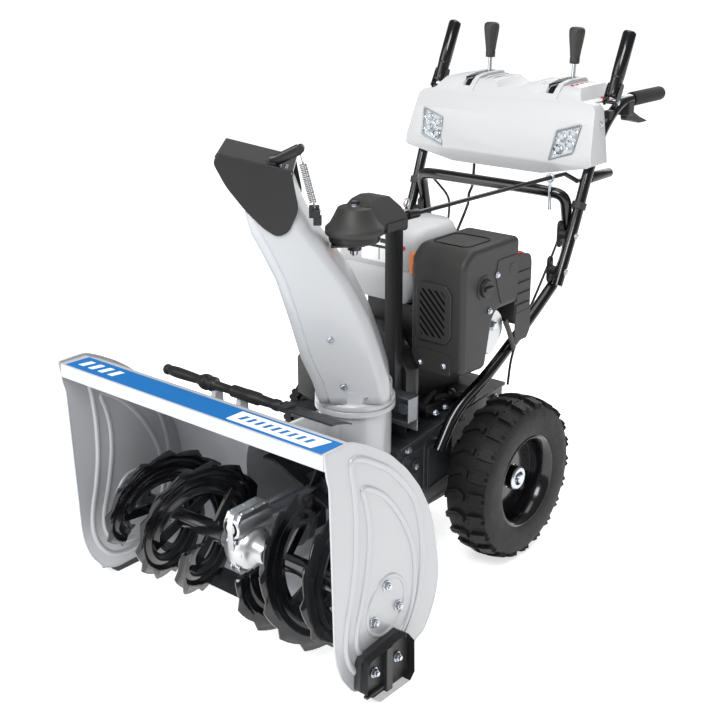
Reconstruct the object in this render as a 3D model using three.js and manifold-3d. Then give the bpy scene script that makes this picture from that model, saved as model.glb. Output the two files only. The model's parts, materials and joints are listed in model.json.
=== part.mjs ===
// Two stage snowblower: a wide auger housing on skid shoes, an impeller behind it that throws the snow
// up a turning chute, and an engine, a friction drive and two wheels under a pair of handlebars.
//
// Millimetres, +Z up. X runs across the machine, towards its right-hand side as seen from the intake,
// +Y runs back from the intake to the handlebars, and Z starts at the ground. Shapes are drawn with
// Y from the front edge of the housing, and the last lines move the whole machine over its own origin.

import * as THREE from "three";
import { mergeVertices } from "three/addons/utils/BufferGeometryUtils.js";
import Module from "manifold-3d";

const wasm = await Module();
wasm.setup();

// ---------------------------------------------------------------- driving dimensions

const SHEET = 3;
const GAP = 0.3;

const HALF_WIDTH = 362;
const MACHINE_FRONT = -3;
const MACHINE_REAR = 1362;

const AUGER = { y: 163, z: 170, radius: 146, barrel: 154, shaft: 12.5 };
const IMPELLER = { z: 225, radius: 138, drum: 150, drumFront: 236, drumRear: 465, shaft: 12 };
const CHUTE = { x: 98, y: 388, aim: -50, halfWidth: 75, neck: 75, neckTop: 450 };
const DOME = { radius: 58, floor: 796, shoulder: 811, top: 851 };
const MAST = { left: 82, right: 110, front: 504, rear: 528, foot: 331.5, top: 781 };

const CHASSIS = { half: 150, front: 466, rear: 860, bottom: 150, frontTop: 325, rearTop: 362 };
const CRANKSHAFT = { z: 455, beltFront: 549, beltRear: 561, pulley: 34 };
const IMPELLER_PULLEY = 64;
const FRICTION = { z: 262, face: 630, disc: 70, wheel: 54 };
const WHEEL = { y: 753, radius: 188, inner: 190, outer: 300, bead: 101, facets: 24 };

const TUBE = 13;
const LOWER_X = 205;
const UPPER_X = 232;
const GRIP = { x: 243, z: 982, front: 1216, rear: MACHINE_REAR, radius: 16.5 };
const CLUTCH_PIVOT = { y: 1118, z: 985 };
const CONTROL = { x: 116, y: 1153, z: 880 };

// ---------------------------------------------------------------- colours and finishes

const finish = (color, roughness, metalness) => new THREE.MeshStandardMaterial({ color, roughness, metalness });
const paleGrey = finish(0xb9bcc0, 0.42, 0.25);
const whiteGrey = finish(0xd9dadb, 0.5, 0);
const charcoal = finish(0x3a3b3d, 0.62, 0);
const glossBlack = finish(0x0c0d10, 0.2, 0.3);
const satinBlack = finish(0x17181a, 0.45, 0.1);
const steel = finish(0xa8adb3, 0.35, 0.9);
const aluminium = finish(0xb4b7ba, 0.42, 0.85);
const darkPaint = finish(0x2c2e31, 0.5, 0.2);
const tyreRubber = finish(0x151515, 0.85, 0);
const clearLens = finish(0xcfd6dc, 0.12, 0.3);
const amber = finish(0xe8820c, 0.4, 0);

// ---------------------------------------------------------------- solids

function weld(geometry) {
  const bare = geometry.clone();
  bare.deleteAttribute("normal");
  bare.deleteAttribute("uv");
  const merged = mergeVertices(bare, 1e-4);
  const index = merged.index.array;
  const corners = [];
  for (let i = 0; i < index.length; i += 3) {
    const [a, b, c] = [index[i], index[i + 1], index[i + 2]];
    if (a !== b && b !== c && c !== a) corners.push(a, b, c);
  }
  if (volume(merged.attributes.position, corners) < 0) corners.reverse();
  merged.setIndex(corners);
  return merged;
}

function volume(position, corners) {
  const [a, b, c] = [new THREE.Vector3(), new THREE.Vector3(), new THREE.Vector3()];
  let sum = 0;
  for (let i = 0; i < corners.length; i += 3) {
    a.fromBufferAttribute(position, corners[i]);
    b.fromBufferAttribute(position, corners[i + 1]);
    c.fromBufferAttribute(position, corners[i + 2]);
    sum += a.dot(b.cross(c));
  }
  return sum / 6;
}

function solid(geometry) {
  const welded = weld(geometry);
  const vertProperties = Float32Array.from(welded.attributes.position.array);
  const triVerts = Uint32Array.from(welded.index.array);
  return new wasm.Manifold(new wasm.Mesh({ numProp: 3, vertProperties, triVerts }));
}

function geometryOf(body) {
  const mesh = body.getMesh();
  const geometry = new THREE.BufferGeometry();
  geometry.setAttribute("position", new THREE.BufferAttribute(Float32Array.from(mesh.vertProperties), 3));
  geometry.setIndex(new THREE.BufferAttribute(Uint32Array.from(mesh.triVerts), 1));
  geometry.computeVertexNormals();
  return geometry;
}

const join = (...parts) => geometryOf(parts.map(solid).reduce((sum, part) => sum.add(part)));
const cut = (base, ...tools) => geometryOf(tools.map(solid).reduce((left, tool) => left.subtract(tool), solid(base)));
const common = (first, second) => geometryOf(solid(first).intersect(solid(second)));
const mirrorX = (geometry) => weld(geometry.clone().scale(-1, 1, 1));

// ---------------------------------------------------------------- shapes

const block = ([x0, x1], [y0, y1], [z0, z1]) =>
  new THREE.BoxGeometry(x1 - x0, y1 - y0, z1 - z0).translate((x0 + x1) / 2, (y0 + y1) / 2, (z0 + z1) / 2);

const outlineOf = (points) => new THREE.Shape(points.map(([a, b]) => new THREE.Vector2(a, b)));

function slab(outline, from, to, across) {
  const geometry = new THREE.ExtrudeGeometry(outlineOf(outline), { depth: to - from, bevelEnabled: false });
  geometry.translate(0, 0, from);
  const turn = {
    x: new THREE.Matrix4().set(0, 0, 1, 0, 1, 0, 0, 0, 0, 1, 0, 0, 0, 0, 0, 1),
    y: new THREE.Matrix4().set(1, 0, 0, 0, 0, 0, 1, 0, 0, 1, 0, 0, 0, 0, 0, 1),
    z: new THREE.Matrix4(),
  };
  return weld(geometry.applyMatrix4(turn[across]));
}

// An outline of [y, z] points between two X planes, of [x, z] between two Y planes, of [x, y] in Z.
const slabX = (outline, from, to) => slab(outline, from, to, "x");
const slabY = (outline, from, to) => slab(outline, from, to, "y");
const slabZ = (outline, from, to) => slab(outline, from, to, "z");

// A block whose edges along every axis are rounded off.
function softBlock([x0, x1], [y0, y1], [z0, z1], radius, segments = 2) {
  const [w, d] = [x1 - x0, y1 - y0];
  const inset = radius;
  const shape = new THREE.Shape();
  shape.moveTo(inset, 0);
  shape.lineTo(w - inset, 0);
  shape.absarc(w - inset, inset, inset, -Math.PI / 2, 0, false);
  shape.absarc(w - inset, d - inset, inset, 0, Math.PI / 2, false);
  shape.absarc(inset, d - inset, inset, Math.PI / 2, Math.PI, false);
  shape.absarc(inset, inset, inset, Math.PI, 1.5 * Math.PI, false);
  const bevel = radius * 0.6;
  const geometry = new THREE.ExtrudeGeometry(shape, {
    depth: z1 - z0 - 2 * bevel,
    curveSegments: 3,
    bevelSize: bevel,
    bevelOffset: -bevel,
    bevelThickness: bevel,
    bevelSegments: segments,
  });
  return geometry.translate(x0, y0, z0 + bevel);
}

// A solid of revolution from [radius, height] points, stood on a centre and turned to an axis.
function turned(profile, centre, axis = "z", segments = 24) {
  const points = profile.map(([radius, height]) => new THREE.Vector2(Math.max(radius, 0), height));
  const geometry = new THREE.LatheGeometry(points, segments);
  if (axis === "z") geometry.rotateX(Math.PI / 2);
  if (axis === "x") geometry.rotateZ(-Math.PI / 2);
  return weld(geometry.translate(...centre));
}

const disc = (radius, from, to, centre, axis, segments) =>
  turned([[0, from], [radius, from], [radius, to], [0, to]], centre, axis, segments);
const ring = (inner, outer, from, to, centre, axis, segments) =>
  turned([[inner, from], [outer, from], [outer, to], [inner, to], [inner, from]], centre, axis, segments);

function rod(from, to, radius, sides = 12, endRadius = radius) {
  const [a, b] = [new THREE.Vector3(...from), new THREE.Vector3(...to)];
  const way = b.clone().sub(a);
  const geometry = new THREE.CylinderGeometry(endRadius, radius, way.length(), sides);
  geometry.applyQuaternion(new THREE.Quaternion().setFromUnitVectors(new THREE.Vector3(0, 1, 0), way.normalize()));
  return geometry.translate(...a.add(b).multiplyScalar(0.5).toArray());
}

const hexagon = (from, to, radius) => rod(from, to, radius, 6);

// A bent tube: straight runs between the points, with each corner rounded by a curve of about the bend.
function pipe(points, radius, bend, sides, step) {
  const path = new THREE.CurvePath();
  const corners = points.map((point) => new THREE.Vector3(...point));
  let start = corners[0];
  for (let i = 1; i < corners.length - 1; i += 1) {
    const [before, corner, after] = [corners[i - 1], corners[i], corners[i + 1]];
    const reach = Math.min(bend, corner.distanceTo(before) * 0.45, corner.distanceTo(after) * 0.45);
    const enter = corner.clone().add(before.clone().sub(corner).setLength(reach));
    const leave = corner.clone().add(after.clone().sub(corner).setLength(reach));
    path.add(new THREE.LineCurve3(start, enter));
    path.add(new THREE.QuadraticBezierCurve3(enter, corner, leave));
    start = leave;
  }
  path.add(new THREE.LineCurve3(start, corners.at(-1)));
  const section = new THREE.Shape();
  for (let i = 0; i < sides; i += 1) {
    const angle = (2 * Math.PI * i) / sides;
    const corner = [radius * Math.cos(angle), radius * Math.sin(angle)];
    if (i === 0) section.moveTo(...corner);
    else section.lineTo(...corner);
  }
  const steps = Math.max(2, Math.round(path.getLength() / step));
  return weld(new THREE.ExtrudeGeometry(section, { steps, extrudePath: path }));
}

// A skin through closed rings of 3-D points, each ring with the same count, closed by its two end rings.
function loft(rings) {
  const count = rings[0].length;
  const positions = rings.flat().flatMap((point) => [point.x, point.y, point.z]);
  const corners = [];
  for (let r = 0; r < rings.length - 1; r += 1) {
    for (let i = 0; i < count; i += 1) {
      const [a, b] = [r * count + i, r * count + ((i + 1) % count)];
      corners.push(a, b, b + count, a, b + count, a + count);
    }
  }
  const cap = (ring, offset, flip) => {
    const [origin, first] = [ring[0], ring[1].clone().sub(ring[0]).normalize()];
    const normal = new THREE.Vector3();
    ring.forEach((point, i) => normal.add(point.clone().cross(ring[(i + 1) % count])));
    normal.normalize();
    const second = normal.clone().cross(first);
    const flat = ring.map((point) => {
      const local = point.clone().sub(origin);
      return new THREE.Vector2(local.dot(first), local.dot(second));
    });
    for (const [a, b, c] of THREE.ShapeUtils.triangulateShape(flat, [])) {
      corners.push(...(flip ? [offset + c, offset + b, offset + a] : [offset + a, offset + b, offset + c]));
    }
  };
  cap(rings[0], 0, true);
  cap(rings.at(-1), (rings.length - 1) * count, false);
  const geometry = new THREE.BufferGeometry();
  geometry.setAttribute("position", new THREE.BufferAttribute(Float32Array.from(positions), 3));
  geometry.setIndex(corners);
  return weld(geometry);
}

// Sheet metal: a line of [a, b] points given a thickness, half of it on each side.
function ribbon(points, thickness) {
  const line = points.map(([a, b]) => new THREE.Vector2(a, b));
  const side = (sign) => line.map((point, i) => {
    const before = line[Math.max(i - 1, 0)];
    const after = line[Math.min(i + 1, line.length - 1)];
    const way = after.clone().sub(before).normalize();
    return [point.x - (sign * way.y * thickness) / 2, point.y + (sign * way.x * thickness) / 2];
  });
  return [...side(1), ...side(-1).reverse()];
}

const arc = (centre, radius, from, to, steps) =>
  Array.from({ length: steps + 1 }, (_, i) => {
    const angle = THREE.MathUtils.degToRad(from + ((to - from) * i) / steps);
    return [centre[0] + radius * Math.cos(angle), centre[1] + radius * Math.sin(angle)];
  });

// ---------------------------------------------------------------- assembly

const snowblower = new THREE.Group();

function add(name, geometry, material, parent = snowblower) {
  const mesh = new THREE.Mesh(geometry, material);
  mesh.name = name;
  parent.add(mesh);
}

function addPair(name, rightGeometry, material) {
  add(`${name}_right`, rightGeometry, material);
  add(`${name}_left`, mirrorX(rightGeometry), material);
}

// ---------------------------------------------------------------- auger housing

const insideHalf = HALF_WIDTH - SHEET - GAP;

function augerHousing() {
  const back = [[68, 523], [98, 511], [172, 464], [219, 420], [258, 371], [284, 326], [300, 288], [309, 250]];
  const bottom = arc([AUGER.y, AUGER.z], AUGER.barrel + SHEET / 2, 14, -58, 10);
  const barrel = slabX(ribbon([...back, ...bottom, [238, 30]], SHEET), -insideHalf, insideHalf);
  const railTop = [[0, 500], [0, 529], [64, 529], [64, 524], [72, 520.6], [70.6, 517], [60, 522], [58, 526],
    [SHEET, 526], [SHEET, 500]];
  const rail = slabX(railTop, -insideHalf, insideHalf);
  const mouth = disc(IMPELLER.drum - SHEET, 150, 400, [0, 0, IMPELLER.z], "y", 28);
  const clip = (x) => slabX([[184, 440], [214, 410], [210, 472], [190, 472]], x - 6, x + 6);
  return cut(join(barrel, rail, clip(-112), clip(-40)), mouth);
}

function sidePlate() {
  const curve = [[-3, 532], [64, 533], [98, 518], [140, 495], [175, 470], [223, 425], [263, 375], [289, 329], [305, 290]];
  const rear = arc([AUGER.y, AUGER.z], 163, 9, -44, 6);
  const foot = [[253, 48], [224, 22], [105, 17], [69, 28], [37, 72], [24, 109], [19, 142]];
  const front = [[14, 328], [10, 467], [4, 484], [-1, 523]];
  const plate = slabX([...curve, ...rear, ...foot, ...front], HALF_WIDTH - SHEET, HALF_WIDTH);
  const lip = slabX([[-3, 529.4], [64, 529.4], [64, 533], [-3, 532]], HALF_WIDTH - 12, HALF_WIDTH);
  const edge = slabX([[18, 142], [13, 328], [9, 467], [13, 467], [17, 328], [22, 142]], HALF_WIDTH - 10, HALF_WIDTH);
  const bolts = BEARING_BOLTS.map(([y, z]) => disc(5.5, HALF_WIDTH - 10, HALF_WIDTH + 5, [0, y, z], "x", 8));
  return cut(join(plate, lip, edge), ...bolts);
}

const BEARING_BOLTS = [[164, 210], [198, 153], [127, 149]];

function augerBearing() {
  const centre = [0, AUGER.y, AUGER.z];
  const face = HALF_WIDTH - SHEET - GAP;
  const flange = disc(48, face - 4, face, centre, "x", 16);
  const hub = disc(22, face - 24, face - 2, centre, "x", 14);
  const bore = disc(AUGER.shaft + 0.5, face - 30, face + 1, centre, "x", 14);
  const bolts = BEARING_BOLTS.flatMap(([y, z]) => [
    disc(4.5, face - 2, HALF_WIDTH + 2, [0, y, z], "x", 10),
    disc(11, HALF_WIDTH + GAP, HALF_WIDTH + 2.3, [0, y, z], "x", 10),
    hexagon([HALF_WIDTH + 2, y, z], [HALF_WIDTH + 8, y, z], 7.5),
  ]);
  return cut(join(flange, hub, ...bolts), bore);
}

function skidShoe() {
  const outline = [[69, 34], [72, 92], [80, 101], [178, 111], [190, 108], [209, 84], [211, 14], [197, 0], [108, 0]];
  const body = slabX(outline, HALF_WIDTH + GAP, 396);
  const pocket = (y) => slabX([[y - 20, 30], [y + 20, 30], [y + 20, 84], [y - 20, 80]], 376, 400);
  const nut = (y) => hexagon([370, y, 56], [384, y, 56], 10);
  return join(cut(body, pocket(112), pocket(170)), nut(112), nut(170));
}

function scraperBlade() {
  return slabX([[198, 1.5], [201, 1.5], [249, 24.5], [246, 28], [240, 27.4]], -354, 354);
}

// ---------------------------------------------------------------- impeller drum, neck and its collar

function impellerDrum() {
  const centre = [0, 0, IMPELLER.z];
  const neckAt = [CHUTE.x, CHUTE.y, 0];
  const funnel = (wall) => [[0, 222], [50 - wall, 222], [53 - wall, 258], [CHUTE.neck - wall, 330],
    [CHUTE.neck - wall, CHUTE.neckTop + wall], [0, CHUTE.neckTop + wall]];
  const outside = join(
    disc(IMPELLER.drum, IMPELLER.drumFront, IMPELLER.drumRear, centre, "y", 28),
    turned(funnel(0), neckAt, "z", 22),
    disc(81, CHUTE.neckTop - 13, CHUTE.neckTop, neckAt, "z", 22),
  );
  const inside = join(
    disc(IMPELLER.drum - SHEET, 100, IMPELLER.drumRear - SHEET, centre, "y", 28),
    turned(funnel(SHEET), neckAt, "z", 22),
  );
  const shaftHole = disc(IMPELLER.shaft + 3, 400, 500, centre, "y", 10);
  const clear = AUGER.barrel + SHEET + GAP;
  const backLine = [[0, 560], [98, 514], [173.4, 466.4], [221, 421.6], [260.4, 372], [286.4, 326.8], [302.4, 288.6],
    [311.4, 250]];
  const keepOut = slabX([...backLine, ...arc([AUGER.y, AUGER.z], clear, 14, -70, 12), [0, 20]], -200, 200);
  return cut(outside, inside, shaftHole, keepOut);
}

// ---------------------------------------------------------------- augers, gearbox and impeller

const FLIGHT = { inner: 84, thickness: 4, turns: 1.12 };

// One serrated ribbon wound on the auger axis between two X stations.
function ribbonFlight(fromX, toX, startAngle, turns) {
  const steps = 22;
  const rings = [];
  for (let i = 0; i <= steps; i += 1) {
    const angle = THREE.MathUtils.degToRad(startAngle) + (2 * Math.PI * turns * i) / steps;
    const taper = Math.min(i, steps - i, 3) / 3;
    const outer = (i % 2 === 0 ? AUGER.radius : AUGER.radius - 9) - (1 - taper) * 34;
    const inner = FLIGHT.inner - (1 - taper) * 20;
    const x = fromX + ((toX - fromX) * i) / steps;
    const at = (radius, shift) => new THREE.Vector3(
      x + shift,
      AUGER.y + radius * Math.cos(angle),
      AUGER.z + radius * Math.sin(angle),
    );
    rings.push([at(inner, -FLIGHT.thickness), at(outer, -FLIGHT.thickness), at(outer, FLIGHT.thickness),
      at(inner, FLIGHT.thickness)]);
  }
  return loft(rings);
}

function augerHalf(side) {
  const centre = [0, AUGER.y, AUGER.z];
  const near = 62;
  const far = 322;
  const sleeve = disc(20, near, far + 6, centre, "x", 10);
  const bore = disc(AUGER.shaft + GAP, near - 10, far + 20, centre, "x", 10);
  const flights = [0, 180].map((phase) => ribbonFlight(near + 14, far - 14, phase, FLIGHT.turns));
  const spokes = [];
  for (const phase of [0, 180]) {
    for (const share of [0.12, 0.5, 0.88]) {
      const degrees = phase + 360 * FLIGHT.turns * share;
      const angle = THREE.MathUtils.degToRad(degrees);
      const x = near + 14 + (far - near - 28) * share;
      const tip = [x, AUGER.y + 92 * Math.cos(angle), AUGER.z + 92 * Math.sin(angle)];
      spokes.push(rod([x, AUGER.y, AUGER.z], tip, 7, 6));
    }
  }
  const half = cut(join(sleeve, ...flights, ...spokes), bore);
  return side > 0 ? half : mirrorX(half);
}

const WORM_WHEEL = 34;

function augerShaft() {
  const centre = [0, AUGER.y, AUGER.z];
  const end = HALF_WIDTH - SHEET - 2;
  return join(
    disc(AUGER.shaft, -end, end, centre, "x", 10),
    disc(WORM_WHEEL, -9, 9, centre, "x", 20),
    disc(18, -20, 20, centre, "x", 10),
  );
}

function gearboxCase() {
  const centre = [0, AUGER.y, AUGER.z];
  const wormAt = [0, 0, IMPELLER.z];
  const outside = join(
    disc(48, -22, 22, centre, "x", 18),
    disc(24, -58, 58, centre, "x", 14),
    disc(27, 118, 214, wormAt, "y", 14),
    disc(34, 120, 126, wormAt, "y", 14),
    slabY([[-24, 178], [24, 178], [24, 226], [-24, 226]], 128, 200),
  );
  const inside = join(
    disc(WORM_WHEEL + 4, -14, 14, centre, "x", 18),
    disc(AUGER.shaft + 1.2, -70, 70, centre, "x", 10),
    disc(19.5, -24, 24, centre, "x", 10),
    disc(20, 124, 206, wormAt, "y", 10),
    disc(IMPELLER.shaft + 1.2, 190, 230, wormAt, "y", 10),
  );
  const bolts = [[-38, 196], [-38, 216], [38, 216], [38, 196]].map(([offset, at]) =>
    hexagon([-29, AUGER.y + offset, at], [29, AUGER.y + offset, at], 6));
  return cut(join(outside, ...bolts), inside);
}

function impellerShaft() {
  const centre = [0, 0, IMPELLER.z];
  const groove = IMPELLER_PULLEY - 8;
  return join(
    disc(IMPELLER.shaft, 128, 590, centre, "y", 10),
    disc(16.5, 134, 184, centre, "y", 10),
    turned([[0, 546], [IMPELLER_PULLEY, 546], [IMPELLER_PULLEY, 549], [groove, 550.5], [groove, 559.5],
      [IMPELLER_PULLEY, 561], [IMPELLER_PULLEY, 564], [0, 564]], centre, "y", 22),
  );
}

function impeller() {
  const centre = [0, 0, IMPELLER.z];
  const hub = disc(34, 372, 450, centre, "y", 14);
  const plate = disc(84, 440, 446, centre, "y", 16);
  const blades = [];
  for (let i = 0; i < 4; i += 1) {
    const blade = slabY([[14, -3], [IMPELLER.radius - 30, -3], [IMPELLER.radius, 12], [IMPELLER.radius - 2, 17],
      [IMPELLER.radius - 32, 3], [14, 3]], 346, 446);
    blade.rotateY((Math.PI / 2) * i + 0.4);
    blades.push(blade.translate(...centre));
  }
  return cut(join(hub, plate, ...blades), disc(IMPELLER.shaft + GAP, 300, 500, centre, "y", 10));
}

// ---------------------------------------------------------------- chute, deflector and gear head

const turntable = new THREE.Group();
turntable.position.set(CHUTE.x, CHUTE.y, 0);
turntable.rotation.z = THREE.MathUtils.degToRad(CHUTE.aim);
snowblower.add(turntable);

// Stations up the chute: [forward, height] of its back wall and of its open front edge.
const CHUTE_STATIONS = [
  [[-74, 466], [70, 466]],
  [[-68, 516], [84, 512]],
  [[-49, 580], [106, 562]],
  [[-29, 639], [129, 646]],
  [[7, 713], [152, 722]],
  [[52, 778], [178, 778]],
  [[82, 818], [196, 812]],
  [[104, 865], [203, 836]],
  [[119, 908], [207, 857]],
];

function chuteRing([[backU, backZ], [frontU, frontZ]], inset) {
  const length = Math.hypot(frontU - backU, frontZ - backZ);
  const at = (along, across) => new THREE.Vector3(
    across,
    -(backU + ((frontU - backU) * along) / length),
    backZ + ((frontZ - backZ) * along) / length,
  );
  const half = CHUTE.halfWidth - inset;
  const corner = 26 - inset;
  const arcSide = (sign) => arc([inset + corner, sign * (half - corner)], corner, 180, 180 - sign * 90, 3);
  const [rightCorner, leftCorner] = [arcSide(1), arcSide(-1)];
  const end = inset > 0 ? length + 30 : length;
  const points = [[end, half], ...rightCorner.reverse(), ...leftCorner, [end, -half]];
  return points.map(([along, across]) => at(along, across));
}

function chuteShell() {
  const outside = loft(CHUTE_STATIONS.map((station) => chuteRing(station, 0)));
  const [first, last] = [CHUTE_STATIONS[0], CHUTE_STATIONS.at(-1)];
  const below = first.map(([u, z]) => [u, z - 30]);
  const above = last.map(([u, z], i) => [u + (i === 0 ? 7 : 3), z + 25]);
  const inside = loft([below, ...CHUTE_STATIONS, above].map((station) => chuteRing(station, SHEET)));
  const sleeve = disc(76, CHUTE.neckTop + GAP, 492, [0, 0, 0], "z", 22);
  const flange = disc(81, CHUTE.neckTop + GAP, 464, [0, 0, 0], "z", 22);
  const bore = disc(72, 440, 520, [0, 0, 0], "z", 22);
  return cut(join(outside, sleeve, flange), inside, bore);
}

const PIVOT_BOLT = { radius: 5, bottom: 754, top: 862 };
const CROWN_WHEEL = 38;

// The pivot bolt, its crown wheel inside the dome and the arm that carries the chute round.
function chuteDrive() {
  const centre = [0, 0, 0];
  return join(
    disc(PIVOT_BOLT.radius, PIVOT_BOLT.bottom, PIVOT_BOLT.top, centre, "z", 8),
    hexagon([0, 0, 857], [0, 0, PIVOT_BOLT.top], 10),
    hexagon([0, 0, 756], [0, 0, 764], 9),
    disc(CROWN_WHEEL, 789.8, 796, centre, "z", 18),
    disc(14, 764, 776, centre, "z", 10),
    slabZ([[-22, 20], [22, 20], [30, -38], [30, -46], [-30, -46], [-30, -38]], 775, 780),
  );
}

function gearHeadCover() {
  const centre = [CHUTE.x, CHUTE.y, 0];
  const dome = (inset) => [[0, DOME.floor - inset], [DOME.radius - inset, DOME.floor - inset],
    [DOME.radius - inset, DOME.shoulder - inset], [DOME.radius - 8 - inset, DOME.shoulder + 8 - inset],
    [35 - inset / 2, DOME.top - inset], [0, DOME.top - inset]];
  const armSide = [[388, DOME.floor], [388, 850], [406, 861], [434, 866], [464, 863], [504, 834], [526, 808],
    [526, 784], [512, 782], [496, DOME.floor]];
  const armInside = [[390, 780], [390, 848], [407, 858], [434, 863], [463, 860], [502, 831.5], [523, 806.5],
    [523, 780]];
  const outside = join(turned(dome(0), centre, "z", 26), slabX(armSide, 74, 124));
  const shaftWay = rod(crankPoint(0), crankPoint(240), 8);
  return cut(outside, turned(dome(SHEET), centre, "z", 26), slabX(armInside, 77, 121), shaftWay,
    disc(7, 780, 900, centre, "z", 10), disc(13, 856, 900, centre, "z", 14));
}

function mast() {
  const centre = [CHUTE.x, CHUTE.y, 0];
  const post = block([MAST.left, MAST.right], [MAST.front, MAST.rear], [MAST.foot, MAST.top + 2]);
  const hollow = block([MAST.left + SHEET, MAST.right - SHEET], [MAST.front + SHEET, MAST.rear + 5],
    [MAST.foot - 1, MAST.top - 2]);
  const pan = slabZ([[82, 388], [114, 388], [114, 523], [82, 523]], 783, 786);
  const plate = disc(50, 782.8, 788.6, centre, "z", 22);
  const foot = block([MAST.left - 16, MAST.right + 30], [MAST.front, MAST.front + 4], [MAST.foot, 372]);
  const hole = disc(7, 770, 800, centre, "z", 10);
  return cut(join(cut(post, hollow), pan, plate, foot), hole);
}

function mastBracket() {
  const [left, right, rear, front] = [104, 174, MAST.front - GAP, 470];
  const web = block([left, right], [rear - SHEET, rear], [360, 441]);
  const flange = (z) => block([left, right], [front, rear], [z, z + SHEET]);
  const cheek = block([right - SHEET, right], [front, rear], [385, 441]);
  const bolt = hexagon([152, rear - SHEET, 403], [152, rear - 14, 403], 9);
  return join(web, flange(385), flange(438), cheek, bolt);
}

const CRANK_FRONT = new THREE.Vector3(CHUTE.x + 2, CHUTE.y, 806);
const CRANK_REAR = new THREE.Vector3(179, 985, 826);
const CRANK_WAY = CRANK_REAR.clone().sub(CRANK_FRONT).normalize();
const crankPoint = (along) => CRANK_FRONT.clone().addScaledVector(CRANK_WAY, along).toArray();

const CRANK_RADIUS = 27.5;

// Pinion, universal joint, long rod and hand crank, all turning about one line.
function chuteCrank() {
  const armStart = crankPoint(650);
  const armEnd = crankPoint(666);
  const knobFront = crankPoint(712);
  const offset = [CRANK_RADIUS * 0.8, 0, -CRANK_RADIUS * 0.6];
  const shifted = (point) => point.map((value, i) => value + offset[i]);
  return join(
    rod(crankPoint(20), crankPoint(34), 7.5, 12),
    rod(crankPoint(24), crankPoint(653), 5, 8),
    rod(crankPoint(144), crankPoint(172), 10, 10),
    rod(armStart, shifted(armEnd), 5.4, 8),
    rod(shifted(crankPoint(662)), shifted(knobFront), 5, 8),
    rod(shifted(crankPoint(708)), shifted(crankPoint(786)), 13, 12, 11),
  );
}

function deflector() {
  const side = [[116, 938], [255, 973], [262, 954], [202, 856], [140, 814], [106, 860]];
  const inner = [[100, 931], [252.5, 969.6], [290, 960], [290, 780], [60, 780], [60, 931]];
  const [outerHalf, innerHalf] = [CHUTE.halfWidth + 5, CHUTE.halfWidth + 1.5];
  const toDepth = (outline) => outline.map(([u, z]) => [-u, z]);
  const hood = cut(slabX(toDepth(side), -outerHalf, outerHalf), slabX(toDepth(inner), -innerHalf, innerHalf));
  const lever = slabX(toDepth([[150, 944], [160, 944], [108, 979], [100, 977], [98, 970]]), 50, 54);
  const knob = rod([38, -104, 977], [66, -104, 977], 5, 10);
  return join(hood, lever, knob);
}

// ---------------------------------------------------------------- chassis and drive

const chassisTop = (y) => CHASSIS.frontTop +
  ((CHASSIS.rearTop - CHASSIS.frontTop) * (y - CHASSIS.front)) / (CHASSIS.rear - CHASSIS.front);

function chassis() {
  const { half, front, rear, bottom } = CHASSIS;
  const outline = (inset) => [[front + inset, bottom + inset], [rear - inset, bottom + inset],
    [rear - inset, chassisTop(rear) - inset], [front + inset, chassisTop(front) - inset]];
  const shell = cut(slabX(outline(0), -half, half), slabX(outline(SHEET), SHEET - half, half - SHEET));
  const rim = (y0, y1) => slabX([[y0, chassisTop(y0) - 8], [y1, chassisTop(y1) - 8], [y1, chassisTop(y1)],
    [y0, chassisTop(y0)]], -half - 8, half + 8);
  const centre = [0, 0, IMPELLER.z];
  const tools = [
    block([-120, 120], [534, 588], [300, 400]),
    disc(IMPELLER.shaft + 4, 450, 490, centre, "y", 10),
    disc(18, -200, 200, [0, WHEEL.y, WHEEL.radius], "x", 14),
    disc(10, -200, 200, [0, HEX.y, FRICTION.z], "x", 10),
    rod([SHIFT.x, 753, 290], [SHIFT.x, 842, 410], 12, 12),
  ];
  return cut(join(shell, cut(rim(front, rear), slabX(outline(SHEET), SHEET - half, half - SHEET))), ...tools);
}

const HEX = { y: FRICTION.face + FRICTION.wheel + GAP };
const SHIFT = { x: -104 };

function auxiliaryBelt() {
  const loop = (grow) => {
    const [upper, lower] = [CRANKSHAFT.pulley - 8 + grow, IMPELLER_PULLEY - 8 + grow];
    const lean = THREE.MathUtils.radToDeg(Math.asin((lower - upper) / (CRANKSHAFT.z - IMPELLER.z)));
    return [
      ...arc([0, CRANKSHAFT.z], upper, lean, 180 - lean, 10),
      ...arc([0, IMPELLER.z], lower, 180 - lean, 360 + lean, 18),
    ];
  };
  return cut(slabY(loop(7.5), CRANKSHAFT.beltFront + 2, CRANKSHAFT.beltRear - 2), slabY(loop(0.5), 500, 600));
}

function crankshaft() {
  const centre = [0, 0, CRANKSHAFT.z];
  const { pulley } = CRANKSHAFT;
  return join(
    disc(11, 542, 596, centre, "y", 10),
    turned([[0, 546], [pulley, 546], [pulley, 549], [pulley - 8, 550.5], [pulley - 8, 559.5], [pulley, 561],
      [pulley, 564], [0, 564]], centre, "y", 16),
  );
}

function frictionDisc() {
  const centre = [0, 0, FRICTION.z];
  return join(
    disc(FRICTION.disc, FRICTION.face - 12, FRICTION.face, centre, "y", 22),
    disc(12, FRICTION.face - 36, FRICTION.face, centre, "y", 10),
  );
}

function hexShaft() {
  const at = (x) => [x, HEX.y, FRICTION.z];
  return join(hexagon(at(-147), at(147), 8), disc(20, 118, 134, [0, HEX.y, FRICTION.z], "x", 14));
}

function frictionWheel() {
  const centre = [-40, HEX.y, FRICTION.z];
  return cut(
    join(disc(FRICTION.wheel, -5, 5, centre, "x", 22), disc(20, -18, 18, centre, "x", 10)),
    hexagon([-80, HEX.y, FRICTION.z], [0, HEX.y, FRICTION.z], 8.5),
  );
}

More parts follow.
